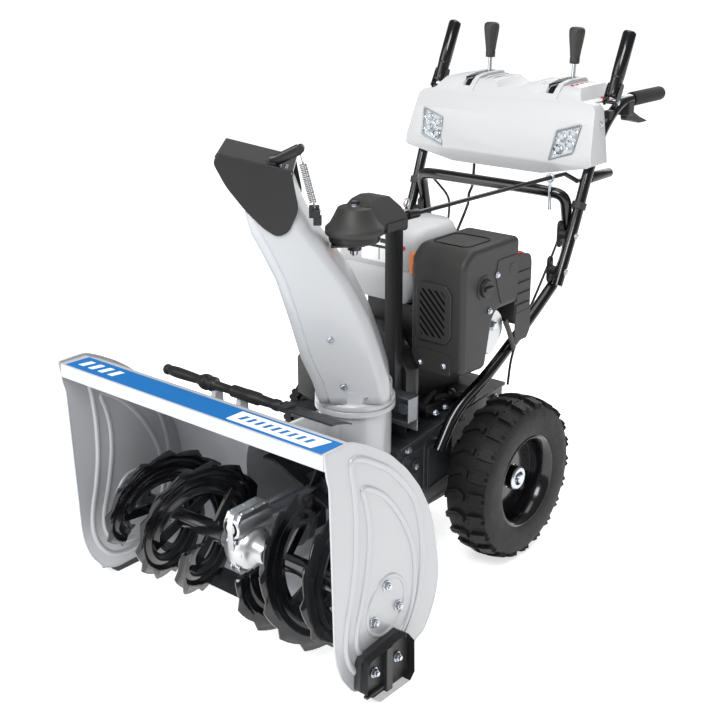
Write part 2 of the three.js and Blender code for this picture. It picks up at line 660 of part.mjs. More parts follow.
function tyre() {
  const { bead, radius, inner, outer } = WHEEL;
  const profile = [[bead, inner + 12], [118, inner + 3], [160, inner], [178, inner + 5], [radius, inner + 18],
    [radius, outer - 18], [178, outer - 5], [160, outer], [118, outer - 3], [bead, outer - 12],
    [bead, inner + 12]];
  return turned(profile, [0, WHEEL.y, WHEEL.radius], "x", WHEEL.facets);
}

function rim() {
  const { bead, inner, outer } = WHEEL;
  const edge = bead - GAP;
  const profile = [[0, 20], [12.5, 20], [12.5, 214], [30, 214], [30, 244], [edge - 5, 244],
    [edge - 5, inner + 12], [edge, inner + 12], [edge, outer - 12], [edge - 5, outer - 12],
    [edge - 5, 252], [30, 252], [30, 278], [0, 278]];
  return turned(profile, [0, WHEEL.y, WHEEL.radius], "x", WHEEL.facets);
}

// ---------------------------------------------------------------- engine

function beltCover() {
  const outline = [[-150, 337], [-198, 346], [-198, 433], [-160, 486], [-70, 552], [-20, 562], [30, 560], [72, 540],
    [118, 470], [118, 337]];
  const inner = outline.map(([x, z]) => [x * 0.975 - 1, (z - 445) * 0.975 + 445]);
  const inside = slabY([...inner.slice(1, -1), [112, 300], [-112, 300]], 536, 600);
  return cut(slabY(outline, 533, 577), inside);
}

function engineBlock() {
  const centre = [0, 0, CRANKSHAFT.z];
  const base = chassisTop(800) + GAP + 0.5;
  const body = join(
    block([-96, 86], [604, 776], [base, 520]),
    block([-60, 84], [620, 760], [500, 588]),
    block([-110, 88], [612, 768], [base, base + 12]),
  );
  const fanHousing = join(disc(96, 776, 836, centre, "y", 22), disc(62, 830, 852, centre, "y", 18));
  const wedge = slabX([[560, 300], [900, 300], [900, chassisTop(900) + 0.8], [560, chassisTop(560) + 0.8]], -400, 400);
  const shaftHole = disc(14, 590, 640, centre, "y", 10);
  return cut(join(body, fanHousing), shaftHole, wedge);
}

function fuelTank() {
  const rear = 772;
  const level = (z, left, right, front) => [[left, front], [right, front], [right, rear], [left, rear]].map(
    ([x, y]) => new THREE.Vector3(x, y, z));
  const skin = loft([
    level(592, -72, 60, 606), level(640, -116, 84, 601), level(664, -130, 88, 600), level(668, -136, 88, 599),
    level(704, -138, 88, 600), level(736, -128, 84, 608), level(752, -104, 66, 632),
  ]);
  const neck = disc(27, 744, 756, [FUEL_CAP.x, FUEL_CAP.y, 0], "z", 14);
  return join(skin, neck);
}

const FUEL_CAP = { x: -40, y: 668, z: 756.3 };

function fuelCap() {
  return join(
    disc(32, FUEL_CAP.z, FUEL_CAP.z + 16, [FUEL_CAP.x, FUEL_CAP.y, 0], "z", 14),
    block([FUEL_CAP.x - 26, FUEL_CAP.x + 26], [FUEL_CAP.y - 4, FUEL_CAP.y + 4], [FUEL_CAP.z + 15, FUEL_CAP.z + 22]),
  );
}

const CHOKE = { y: 653, z: 650 };

function engineCover() {
  const [left, right, front, rear, bottom, top] = [92, 230, 578, 786, 462, 738];
  const outside = softBlock([left, right], [front, rear], [bottom, top], 20);
  const inside = softBlock([left - 40, right - 4], [front + 4, rear - 4], [bottom + 4, top - 4], 17);
  const cutOut = slabX([[668, 450], [690, 568], [706, 584], [800, 584], [800, 450]], 150, 240);
  const chokeHole = disc(6, 200, 250, [0, CHOKE.y, CHOKE.z], "x", 8);
  const sideOpening = slabX([[610, 505], [760, 505], [760, 715], [610, 715]], 80, 100);
  return cut(outside, inside, cutOut, chokeHole, sideOpening);
}

function rearCover() {
  const outside = softBlock([118, 224], [786.5, 850], [532, 692], 14);
  const skirt = slabX([[790, 490], [838, 490], [850, 508], [850, 600], [790, 600]], 220.5, 224);
  return join(cut(outside, block([90, 200], [784, 844], [540, 684])), skirt);
}

function muffler() {
  return join(
    disc(44, 100, 206, [0, 724, 536], "x", 16),
    disc(12, 200, 214, [0, 724, 536], "x", 8),
    block([90, 104], [700, 748], [516, 556]),
  );
}

function chokeKnob() {
  const centre = [0, CHOKE.y, CHOKE.z];
  return join(disc(20, 230.4, 240, centre, "x", 14), disc(5, 208, 232, centre, "x", 10),
    block([238, 246], [CHOKE.y - 16, CHOKE.y + 16], [CHOKE.z - 4, CHOKE.z + 4]));
}

const STARTER = { x: 66, y: 858, z: 500 };

function starterGrip() {
  return join(
    rod([STARTER.x - 22, STARTER.y + 9, STARTER.z], [STARTER.x + 22, STARTER.y + 9, STARTER.z], 8, 12),
    rod([STARTER.x, STARTER.y - 12, STARTER.z], [STARTER.x, STARTER.y + 4, STARTER.z], 4, 8),
  );
}

// ---------------------------------------------------------------- handlebars and controls

function lowerHandle() {
  const leg = [[173, 580, 286], [173, 640, 366], [LOWER_X - 3, 712, 428], [LOWER_X, 868, 517],
    [LOWER_X, 992, 594], [LOWER_X, 1034, 660], [LOWER_X, 1004, 786], [LOWER_X - 50, 990, 792]];
  const otherLeg = leg.map(([x, y, z]) => [-x, y, z]).reverse();
  return pipe([...leg, ...otherLeg], TUBE, 52, 8, 42);
}

function upperHandle() {
  const tube = pipe([[UPPER_X, 944, 590], [UPPER_X, 1004, 712], [UPPER_X + 2, 1050, 836], [GRIP.x - 3, 1092, 928],
    [GRIP.x, 1160, GRIP.z], [GRIP.x, GRIP.rear - 14, GRIP.z]], TUBE - 0.5, 48, 8, 36);
  const [upperBolt, lowerBolt] = [[997, 696], [960, 620]];
  const head = ([y, z]) => hexagon([UPPER_X + 8, y, z], [UPPER_X + 20, y, z], 7);
  const { y, z } = CLUTCH_PIVOT;
  const lug = slabX([[y - 12, z - 40], [y + 16, z - 26], [y + 8, z + 7], [y - 8, z + 7]], GRIP.x - 10, GRIP.x + 10);
  const pin = disc(4, GRIP.x - 18, GRIP.x + 18, [0, y, z], "x", 10);
  const hanger = block([GRIP.x - 5, GRIP.x + 5], [TRIGGER.y - 8, TRIGGER.y + 10], [TRIGGER.z + 2, GRIP.z - 8]);
  return join(tube, head(upperBolt), head(lowerBolt), lug, pin, hanger);
}

function grip() {
  const centre = [GRIP.x, 0, GRIP.z];
  return turned([[TUBE + 1, GRIP.front], [GRIP.radius - 1, GRIP.front], [GRIP.radius, GRIP.front + 6],
    [GRIP.radius, GRIP.rear - 4], [GRIP.radius - 4, GRIP.rear], [0, GRIP.rear], [0, GRIP.rear - 12],
    [TUBE + 1, GRIP.rear - 12], [TUBE + 1, GRIP.front]], centre, "y", 10);
}

// A fork of two cheeks over the handle tube carries the round lever, which lies on the grip when squeezed.
function clutchLever() {
  const { y, z } = CLUTCH_PIVOT;
  const at = (along, x = GRIP.x) => [x, y + along * 0.413, z + along * 0.911];
  const cheekOutline = [[y - 9, z + 2], [y - 2, z - 8], [y + 8, z - 6], [y + 36, z + 60], [y + 20, z + 66]];
  const cheek = (x) => cut(slabX(cheekOutline, x, x + 3), disc(4.6, x - 2, x + 5, [0, y, z], "x", 10));
  return join(
    rod(at(58), at(158), 12, 12),
    rod(at(158), at(167), 12, 12, 6),
    cheek(GRIP.x + 13.2),
    cheek(GRIP.x - 16.2),
    rod(at(66, GRIP.x - 16), at(66, GRIP.x + 16), 7, 8),
  );
}

const TRIGGER = { y: 1190, z: 958 };

function trigger() {
  const { y, z } = TRIGGER;
  const outline = [[y - 8, z - 12], [y + 6, z - 4], [y + 26, z - 6], [y + 60, z - 22], [y + 96, z - 24],
    [y + 98, z - 30], [y + 56, z - 34], [y + 18, z - 24], [y - 4, z - 22]];
  return slabX(outline, GRIP.x - 8, GRIP.x + 8);
}

function consoleShell() {
  const side = (inset) => [[1034 + inset, 800], [1012 + inset, 852], [1014 + inset, 880], [1034 + inset, 945],
    [1044 + inset, 974 - inset], [1062 + inset, 1002 - inset], [1080, 1016 - inset], [1188 - inset, 1020 - inset],
    [1206 - inset, 1000 - inset], [1206 - inset, 966]];
  const front = (inset) => {
    const half = [[262 - inset, 856], [246 - inset, 974 - inset], [236 - inset, 984 - inset], [204 - inset, 990 - inset],
      [186 - inset, 1018 - inset], [44 + inset, 1020 - inset], [28 + inset, 1002 - inset]];
    const bottom = inset > 0 ? [[252, 820], [120, 790]] : [[252, 850], [126, 823]];
    const right = [...bottom.slice().reverse(), ...half];
    return [...right, ...right.map(([x, z]) => [-x, z]).reverse()];
  };
  const wall = 3.5;
  const outside = common(slabX(side(0), -270, 270), slabY(front(0), 990, 1230));
  const innerSide = [...side(wall).slice(0, -1), [1206 - wall, 990], [1240, 984], [1240, 780], [1050, 780]];
  const inside = common(slabX(innerSide, -270, 270), slabY(front(wall), 980, 1250));
  const slot = (x) => block([x - 9, x + 9], [1052, 1190], [990, 1030]);
  const endRelief = (from, to) => block([from, to], [1084, 1240], [780, 1040]);
  const lampHole = lampBody(-12, 14, 1.03);
  return cut(outside, inside, slot(CONTROL.x), slot(-CONTROL.x), endRelief(222, 280), endRelief(-280, -222),
    lampHole, mirrorX(lampHole));
}

// A lamp's slanted window, laid on the sloping front of the console, pushed in and grown by small amounts.
function lampBody(front, rear, grow) {
  const [middleX, middleZ] = [186, 901];
  const corners = [[151, 859], [161, 924], [220, 942], [212, 881]];
  const ringAt = (push) => corners.map(([x, z]) => new THREE.Vector3(
    middleX + (x - middleX) * grow,
    1013 + Math.max(0, (z - 880) * 0.31) + push,
    middleZ + (z - middleZ) * grow,
  ));
  return loft([ringAt(rear), ringAt(front)]);
}

const lamp = () => lampBody(-1.5, 6, 1);

function controlLever(withArm) {
  const { x, y, z } = CONTROL;
  const parts = [
    rod([x, y, z], [x + 2.5, y + 9, z + 182], 5, 10),
    rod([x + 2.4, y + 9, z + 180], [x + 2.7, y + 10, z + 210], 10, 12, 13),
    rod([x + 2.7, y + 10, z + 210], [x + 3, y + 12, z + 254], 13, 12, 17),
    rod([x + 3, y + 12, z + 254], [x + 3, y + 12.4, z + 262], 17, 12, 10),
    disc(14, -7, 7, [x, y, z], "x", 10),
  ];
  if (withArm) parts.push(slabX([[y + 4, z - 12], [y - 4, z + 12], [y - 40, z - 4], [y - 38, z - 16]], x - 3, x + 3));
  return join(...parts);
}

function shiftRod() {
  const { x } = SHIFT;
  return pipe([[x, 1114, 850], [x, 1083, 806], [x, 1086, 758], [x, 1066, 742], [x, 1066, 712],
    [x, 790, 340]], 4, 12, 6, 26);
}

function crankEyebolt() {
  const eye = crankPoint(597);
  const [x, y, z] = eye;
  return join(
    cut(disc(11, -3, 3, eye, "y", 14), disc(6, -10, 10, eye, "y", 14)),
    cut(rod([x, y, z - 8], [x, y + 4, 752], 4, 10), rod([x - 40, 991, 792], [x + 60, 991, 792], TUBE + GAP, 20)),
  );
}

// ---------------------------------------------------------------- clearing tool on the housing

function cleanoutTool() {
  const [y, z] = [200, 482];
  const at = (x) => [x, y, z];
  return join(
    rod(at(-267), at(-140), 11, 12),
    rod(at(-142), at(-128), 17, 12),
    rod(at(-130), at(-24), 9, 12),
    rod(at(-24), at(80), 13, 12),
    slabX([[y - 8, z - 4], [y + 10, z - 5], [y + 34, z - 10], [y + 51, z - 18], [y + 52, z - 14], [y + 34, z - 5],
      [y + 8, z + 4], [y - 8, z + 6]], 76, 208),
  );
}

// ---------------------------------------------------------------- cables

// A control cable held from the handlebar, down beside the lower handle, to the rear of the chassis.
function controlCable() {
  return pipe([[214, 1046, 778], [196, 1062, 752], [168, 1076, 716], [158, 1056, 650], [156, 990, 560],
    [158, 930, 492], [158, 880, 420], [158, 870, 352]], 3, 40, 8, 26);
}

// ---------------------------------------------------------------- the machine

add("auger_housing", augerHousing(), paleGrey);
addPair("side_plate", sidePlate(), paleGrey);
addPair("auger_bearing", augerBearing(), steel);
addPair("skid_shoe", skidShoe(), satinBlack);
add("scraper_blade", scraperBlade(), darkPaint);
add("impeller_drum", impellerDrum(), paleGrey);
add("cleanout_tool", cleanoutTool(), satinBlack);

add("auger_shaft", augerShaft(), steel);
add("auger_right", augerHalf(1), glossBlack);
add("auger_left", augerHalf(-1), glossBlack);
add("gearbox_case", gearboxCase(), aluminium);
add("impeller_shaft", impellerShaft(), steel);
add("impeller", impeller(), glossBlack);

add("chute", chuteShell(), paleGrey, turntable);
add("chute_drive", chuteDrive(), satinBlack, turntable);
add("deflector", deflector(), satinBlack, turntable);
add("gear_head_cover", gearHeadCover(), charcoal);
add("mast", mast(), satinBlack);
add("mast_bracket", mastBracket(), steel);
add("chute_crank", chuteCrank(), satinBlack);
add("crank_eyebolt", crankEyebolt(), steel);

add("chassis", chassis(), darkPaint);
add("belt_cover", beltCover(), satinBlack);
add("drive_belt", auxiliaryBelt(), tyreRubber);
add("crankshaft", crankshaft(), steel);
add("friction_disc", frictionDisc(), steel);
add("hex_shaft", hexShaft(), steel);
add("friction_wheel", frictionWheel(), tyreRubber);
addPair("tyre", tyre(), tyreRubber);
addPair("rim", rim(), glossBlack);

add("engine_block", engineBlock(), satinBlack);
add("fuel_tank", fuelTank(), whiteGrey);
add("fuel_cap", fuelCap(), amber);
add("engine_cover", engineCover(), charcoal);
add("rear_cover", rearCover(), charcoal);
add("muffler", muffler(), aluminium);
add("choke_knob", chokeKnob(), charcoal);
add("starter_grip", starterGrip(), satinBlack);

add("lower_handle", lowerHandle(), glossBlack);
addPair("upper_handle", upperHandle(), glossBlack);
addPair("grip", grip(), satinBlack);
addPair("clutch_lever", clutchLever(), glossBlack);
addPair("trigger", trigger(), satinBlack);
add("console", consoleShell(), whiteGrey);
addPair("lamp", lamp(), clearLens);
add("chute_lever", controlLever(false), charcoal);
add("speed_lever", mirrorX(controlLever(true)), charcoal);
add("shift_rod", shiftRod(), steel);
addPair("control_cable", controlCable(), satinBlack);

snowblower.position.y = -(MACHINE_FRONT + MACHINE_REAR) / 2;

export default snowblower;
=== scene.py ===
"""A walk-behind two stage snowblower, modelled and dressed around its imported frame.

Every shape is drawn in millimetres. X runs across the machine, Y back from the front edge of the auger
housing and Z up from the ground. Form.finish puts a drawn shape in the row's own frame, in metres.
"""

import json
import logging
import math
from dataclasses import dataclass
from enum import Enum
from typing import Any, Callable, Iterable, Optional, Sequence

import bmesh
import bpy
from mathutils import Matrix, Quaternion, Vector

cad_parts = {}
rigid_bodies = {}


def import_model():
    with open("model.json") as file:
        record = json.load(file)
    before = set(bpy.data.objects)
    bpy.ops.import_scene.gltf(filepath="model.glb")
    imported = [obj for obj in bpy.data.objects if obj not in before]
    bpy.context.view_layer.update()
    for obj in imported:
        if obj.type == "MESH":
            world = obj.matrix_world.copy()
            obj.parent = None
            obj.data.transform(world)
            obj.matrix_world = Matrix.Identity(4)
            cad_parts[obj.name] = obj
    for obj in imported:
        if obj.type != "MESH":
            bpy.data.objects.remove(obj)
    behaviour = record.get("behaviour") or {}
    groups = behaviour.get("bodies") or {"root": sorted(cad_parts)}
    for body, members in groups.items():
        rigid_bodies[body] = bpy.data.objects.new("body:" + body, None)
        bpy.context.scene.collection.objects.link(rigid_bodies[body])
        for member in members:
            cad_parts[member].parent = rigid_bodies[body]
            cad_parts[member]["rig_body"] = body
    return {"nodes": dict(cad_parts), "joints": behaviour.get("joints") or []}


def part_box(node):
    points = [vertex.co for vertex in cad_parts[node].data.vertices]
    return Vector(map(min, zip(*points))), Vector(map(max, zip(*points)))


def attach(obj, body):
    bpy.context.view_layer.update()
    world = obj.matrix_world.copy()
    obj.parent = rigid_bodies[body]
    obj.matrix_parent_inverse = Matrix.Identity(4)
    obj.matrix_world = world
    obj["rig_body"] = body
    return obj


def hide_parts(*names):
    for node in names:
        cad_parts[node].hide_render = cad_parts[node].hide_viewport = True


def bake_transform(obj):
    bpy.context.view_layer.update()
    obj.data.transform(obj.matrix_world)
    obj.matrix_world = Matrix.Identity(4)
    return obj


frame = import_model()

LOG = logging.getLogger("snowblower")
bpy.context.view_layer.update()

MM = 0.001
SIDE_PLATE_LIP = 3.0
HOUSING_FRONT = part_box("side_plate_right")[0].y + SIDE_PLATE_LIP * MM
TO_ROW = Matrix.Translation((0.0, HOUSING_FRONT, 0.0)) @ Matrix.Scale(MM, 4)
TO_DRAWING = TO_ROW.inverted()

AXES = {"x": Vector((1, 0, 0)), "y": Vector((0, 1, 0)), "z": Vector((0, 0, 1))}

Point = Sequence[float]
Outline = Sequence[Sequence[float]]


def drawn(point: Point) -> Vector:
    """Returns a point of the row's frame, in metres, as a point of the drawing, in millimetres."""
    return TO_DRAWING @ Vector(point)


def high(node: str) -> Vector:
    """Returns a CAD node's highest corner in the drawing."""
    return drawn(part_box(node)[1])


def pivot(joint: str) -> Vector:
    """Returns the point that a hinge turns about, in the drawing."""
    return drawn(next(entry["pos_m"] for entry in frame["joints"] if entry["name"] == joint))


# ------------------------------------------------------------------ shader maths


class Signal:
    """One socket of a shader, on which Python arithmetic adds Math nodes."""

    def __init__(self, shader: "Shader", socket: bpy.types.NodeSocket) -> None:
        """Wraps a socket of a shader."""
        self.shader = shader
        self.socket = socket

    def _math(self, operation: str, *terms: "Signal | float") -> "Signal":
        """Returns a Math node's result for some terms."""
        return self.shader.node("ShaderNodeMath", {"operation": operation}, list(terms))

    def __add__(self, other: "Signal | float") -> "Signal":
        """Adds."""
        return self._math("ADD", self, other)

    def __sub__(self, other: "Signal | float") -> "Signal":
        """Subtracts."""
        return self._math("SUBTRACT", self, other)

    def __mul__(self, other: "Signal | float") -> "Signal":
        """Multiplies."""
        return self._math("MULTIPLY", self, other)

    __radd__ = __add__
    __rmul__ = __mul__

    def step(self, start: float, end: float) -> "Signal":
        """Returns a smooth step from 0 at start to 1 at end."""
        settings = {"interpolation_type": "SMOOTHSTEP"}
        return self.shader.node("ShaderNodeMapRange", settings,
                                {"Value": self, "From Min": start, "From Max": end})


class Shader:
    """A Principled material built from Signals."""

    def __init__(self, name: str) -> None:
        """Makes an empty material with that name."""
        self.material = bpy.data.materials.new(name)
        self.material.use_nodes = True
        self.tree = self.material.node_tree
        self.surface = self.tree.nodes["Principled BSDF"]
        self.point = Signal(self, self.tree.nodes.new("ShaderNodeTexCoord").outputs["Object"])

    def node(self, kind: str, settings: dict[str, Any], values: "dict[str, Any] | list[Any]",
             output: Any = 0) -> Signal:
        """Adds a node.

        Args:
            kind: the node's type.
            settings: its own settings, which are set first.
            values: numbers, colours or Signals for its inputs, by name or in order.
            output: the output that is returned.

        Returns:
            The output's Signal.
        """
        made = self.tree.nodes.new(kind)
        for key, value in settings.items():
            setattr(made, key, value)
        pairs = values.items() if isinstance(values, dict) else enumerate(values)
        for key, value in pairs:
            self.feed(made.inputs[key], value)
        return Signal(self, made.outputs[output])

    def feed(self, socket: bpy.types.NodeSocket, value: Any) -> None:
        """Links a Signal to an input, or sets the input to a number or colour."""
        if isinstance(value, Signal):
            self.tree.links.new(value.socket, socket)
        elif isinstance(value, (tuple, list)) and socket.type == "RGBA":
            socket.default_value = (*value, 1.0)
        else:
            socket.default_value = value

    def noise(self, scale: float, detail: float = 2.0, stretch: Point = (1.0, 1.0, 1.0)) -> Signal:
        """Returns a noise of about 0 to 1 whose features are 1 / scale metres."""
        place = self.node("ShaderNodeMapping", {}, {"Vector": self.point, "Scale": tuple(stretch)})
        return self.node("ShaderNodeTexNoise", {}, {"Vector": place, "Scale": scale, "Detail": detail})

    def mix(self, factor: "Signal | float", first: Any, second: Any) -> Signal:
        """Returns the first colour where the factor is 0 and the second where it is 1."""
        names = {"Factor": factor}
        mixed = self.node("ShaderNodeMix", {"data_type": "RGBA"}, names, 2)
        node = mixed.socket.node
        self.feed(node.inputs[6], first)
        self.feed(node.inputs[7], second)
        return mixed

    def bump(self, height: Signal, depth: float, strength: float = 1.0) -> None:
        """Raises the surface by a height of 0 to 1 times a depth in metres."""
        made = self.node("ShaderNodeBump", {}, {"Height": height, "Distance": depth, "Strength": strength})
        self.feed(self.surface.inputs["Normal"], made)

    def set(self, **inputs: Any) -> None:
        """Feeds the surface's inputs, whose names are given with _ for a space."""
        for name, value in inputs.items():
            self.feed(self.surface.inputs[name.replace("_", " ")], value)


# ------------------------------------------------------------------ finishes

COAT_ROUGHNESS = 0.06
WINDOW_OPACITY = 0.12
GLASS_IOR = 1.5
DIODE_LIGHT = 0.12


@dataclass(frozen=True)
class Finish:
    """A coated or moulded surface with mottled colour, uneven gloss and a fine grain.

    Attributes:
        name: the material's name.
        slot: the record's slot that pieces of this finish belong to.
        colour: the main colour.
        shade: the colour that it drifts to in patches.
        roughness: the mean roughness.
        unevenness: how far the roughness drifts.
        patch: the number of patches in a metre.
        grain: the number of grains in a metre.
        grain_depth: the depth of a grain, in metres.
        metallic: the share of bare metal.
        coat: the weight of the clear coat.
        specular: the strength of its reflections, 0.5 on most surfaces.
    """

    name: str
    slot: str
    colour: tuple[float, float, float]
    shade: tuple[float, float, float]
    roughness: float = 0.4
    unevenness: float = 0.1
    patch: float = 9.0
    grain: float = 900.0
    grain_depth: float = 0.00004
    metallic: float = 0.0
    coat: float = 0.0
    specular: float = 0.5

    def colouring(self, shader: Shader) -> Any:
        """Returns the surface's colour."""
        return shader.mix(shader.noise(self.patch, 4.0), self.colour, self.shade)

    def relief(self, shader: Shader) -> tuple[Signal, float]:
        """Returns the height of the surface and its depth in metres."""
        return shader.noise(self.grain, 2.0), self.grain_depth

    def material(self) -> bpy.types.Material:
        """Returns the material, which is made once."""
        made = bpy.data.materials.get(self.name)
        if made:
            return made
        shader = Shader(self.name)
        drift = (shader.noise(self.patch * 2.7, 5.0) - 0.5) * (2.0 * self.unevenness)
        shader.set(Base_Color=self.colouring(shader), Roughness=drift + self.roughness,
                   Metallic=self.metallic)
        shader.surface.inputs["Coat Weight"].default_value = self.coat
        shader.surface.inputs["Coat Roughness"].default_value = COAT_ROUGHNESS
        shader.surface.inputs["Specular IOR Level"].default_value = self.specular
        height, depth = self.relief(shader)
        shader.bump(height, depth)
        self.extras(shader)
        return shader.material

    def extras(self, shader: Shader) -> None:
        """Sets what only some finishes have."""


@dataclass(frozen=True)
class BrushedMetal(Finish):
    """Bare metal whose grain runs across the machine."""

    def relief(self, shader: Shader) -> tuple[Signal, float]:
        """Returns fine scratches along X."""
        return shader.noise(self.grain, 3.0, (0.08, 1.0, 1.0)), self.grain_depth


@dataclass(frozen=True)
class CastMetal(Finish):
    """Cast metal with a sandy skin and darker pits."""

    def colouring(self, shader: Shader) -> Any:
        """Returns the colour, darkened in the pits."""
        pits = shader.noise(self.grain * 0.6, 3.0).step(0.52, 0.72)
        return shader.mix(pits * 0.5, self.colour, self.shade)


@dataclass(frozen=True)
class Rubber(Finish):
    """Tread rubber that is dusted greyer in small patches."""

    def colouring(self, shader: Shader) -> Any:
        """Returns the colour, dusted in small patches."""
        dust = shader.noise(60.0, 6.0).step(0.5, 0.8) * 0.55
        return shader.mix(dust, self.colour, self.shade)


@dataclass(frozen=True)
class Lens(Finish):
    """A clear window that lets the lamps behind it show."""

    def extras(self, shader: Shader) -> None:
        """Makes the window see-through."""
        shader.surface.inputs["Alpha"].default_value = WINDOW_OPACITY
        shader.surface.inputs["IOR"].default_value = GLASS_IOR


@dataclass(frozen=True)
class Glow(Finish):
    """A lamp's diode, which gives a little light of its own."""

    def extras(self, shader: Shader) -> None:
        """Lights the diode."""
        shader.surface.inputs["Emission Color"].default_value = (0.9, 0.95, 1.0, 1.0)
        shader.surface.inputs["Emission Strength"].default_value = DIODE_LIGHT


PAINT = Finish("silver_grey_paint", "housing_paint", (0.44, 0.45, 0.465), (0.41, 0.42, 0.435), 0.34, 0.05,
               5.0,
               620.0, 0.00003, 0.15, 0.35)
INNER_PAINT = Finish("inner_grey_paint", "housing_paint", (0.43, 0.445, 0.465), (0.38, 0.395, 0.42), 0.42,
                     0.06, 5.0,
                     620.0, 0.00003, 0.12, 0.15)
PALE = Finish("pale_moulding", "pale_plastic", (0.46, 0.465, 0.475), (0.43, 0.435, 0.445), 0.42, 0.05, 6.0,
              1100.0,
              0.00003)
CHARCOAL = Finish("charcoal_moulding", "charcoal_plastic", (0.026, 0.025, 0.0245), (0.034, 0.033, 0.032),
                  0.5, 0.05,
                  12.0, 1500.0, 0.00007, specular=0.32)
BLACK_PLASTIC = Finish("black_moulding", "black_plastic", (0.010, 0.010, 0.011), (0.015, 0.015, 0.016), 0.42,
                       0.08,
                       14.0, 1300.0, 0.00005, specular=0.35)
# Painted shade: a flat black that stands for the shade inside the louvre's slits.
PAINTED_SHADE_BLACK = Finish("shadow_black", "black_plastic", (0.001, 0.001, 0.001), (0.002, 0.002, 0.002), 0.9,
                    specular=0.05)
SHOE_PLASTIC = Finish("skid_shoe_moulding", "skid_plastic", (0.016, 0.016, 0.017), (0.030, 0.030, 0.032),
                      0.44, 0.1,
                      22.0, 900.0, 0.00008, specular=0.4)
GLOSS_BLACK = Finish("gloss_black_paint", "gloss_black_steel", (0.003, 0.0032, 0.004),
                     (0.004, 0.0044, 0.0055), 0.2,
                     0.02, 16.0, 500.0, 0.00003, 0.0, 0.35, 0.4)
SATIN_BLACK = Finish("satin_black_paint", "satin_black_steel", (0.007, 0.007, 0.008), (0.011, 0.011, 0.012),
                     0.38,
                     0.07, 12.0, 800.0, 0.00005, 0.0, 0.1, 0.35)
DARK_STEEL = Finish("dark_grey_paint", "dark_steel", (0.020, 0.021, 0.024), (0.028, 0.029, 0.033), 0.4, 0.07,
                    9.0,
                    700.0, 0.00005, 0.1, 0.1, 0.35)
ZINC = BrushedMetal("zinc_plate", "zinc_steel", (0.58, 0.60, 0.64), (0.47, 0.50, 0.56), 0.3, 0.1, 40.0,
                    1400.0,
                    0.00003, 1.0)
DULL_STEEL = BrushedMetal("dull_steel", "zinc_steel", (0.34, 0.35, 0.37), (0.25, 0.26, 0.28), 0.42, 0.1,
                          40.0, 1400.0,
                          0.00003, 1.0)
CHROME = BrushedMetal("bright_plate", "zinc_steel", (0.52, 0.53, 0.55), (0.46, 0.48, 0.50), 0.16, 0.04, 30.0,
                      900.0,
                      0.00001, 1.0)
CASTING = CastMetal("cast_aluminium", "cast_aluminium", (0.30, 0.305, 0.31), (0.18, 0.185, 0.19), 0.42, 0.1,
                    30.0,
                    700.0, 0.00012, 1.0)
DARK_CASTING = CastMetal("dark_casting", "cast_aluminium", (0.012, 0.012, 0.013), (0.006, 0.006, 0.0065),
                         0.5, 0.1, 30.0,
                         700.0, 0.0001, 0.4)
TYRE_RUBBER = Rubber("tyre_tread", "tyre_rubber", (0.006, 0.006, 0.006), (0.014, 0.0135, 0.013), 0.6, 0.1,
                     18.0,
                     1200.0, 0.00012, specular=0.3)
FOAM = Rubber("grip_foam", "grip_foam", (0.012, 0.012, 0.013), (0.024, 0.024, 0.025), 0.75, 0.05, 25.0,
              2200.0,
              0.0002)
BELT = Rubber("belt_rubber", "belt_rubber", (0.012, 0.012, 0.012), (0.02, 0.02, 0.02), 0.7, 0.05, 25.0,
              1500.0,
              0.0001)
BLUE = Finish("blue_film", "housing_paint", (0.004, 0.12, 0.36), (0.005, 0.128, 0.38), 0.4, 0.03, 8.0, 900.0,
              0.00001, specular=0.2)
WHITE = Finish("white_film", "housing_paint", (0.82, 0.83, 0.84), (0.78, 0.79, 0.80), 0.35, 0.03, 8.0, 900.0,
               0.00001, 0.0, 0.3)
AMBER = Finish("amber_moulding", "amber_plastic", (0.75, 0.19, 0.01), (0.66, 0.15, 0.01), 0.32, 0.05, 20.0,
               900.0,
               0.00004, 0.0, 0.2)
RED = Finish("red_mark", "amber_plastic", (0.55, 0.02, 0.015), (0.45, 0.02, 0.015), 0.35, 0.05, 20.0)
REFLECTOR = Finish("lamp_reflector", "lamp_lens", (0.34, 0.37, 0.39), (0.26, 0.29, 0.31), 0.3, 0.05, 60.0,
                   500.0,
                   0.00003, 0.75)
DIODE = Glow("lamp_diode", "lamp_lens", (0.36, 0.39, 0.42), (0.30, 0.33, 0.36), 0.15, 0.02, 60.0, 300.0,
             0.00002)
LENS = Lens("lamp_window", "lamp_lens", (0.80, 0.85, 0.88), (0.76, 0.81, 0.85), 0.05, 0.02, 20.0, 200.0,
            0.00001)

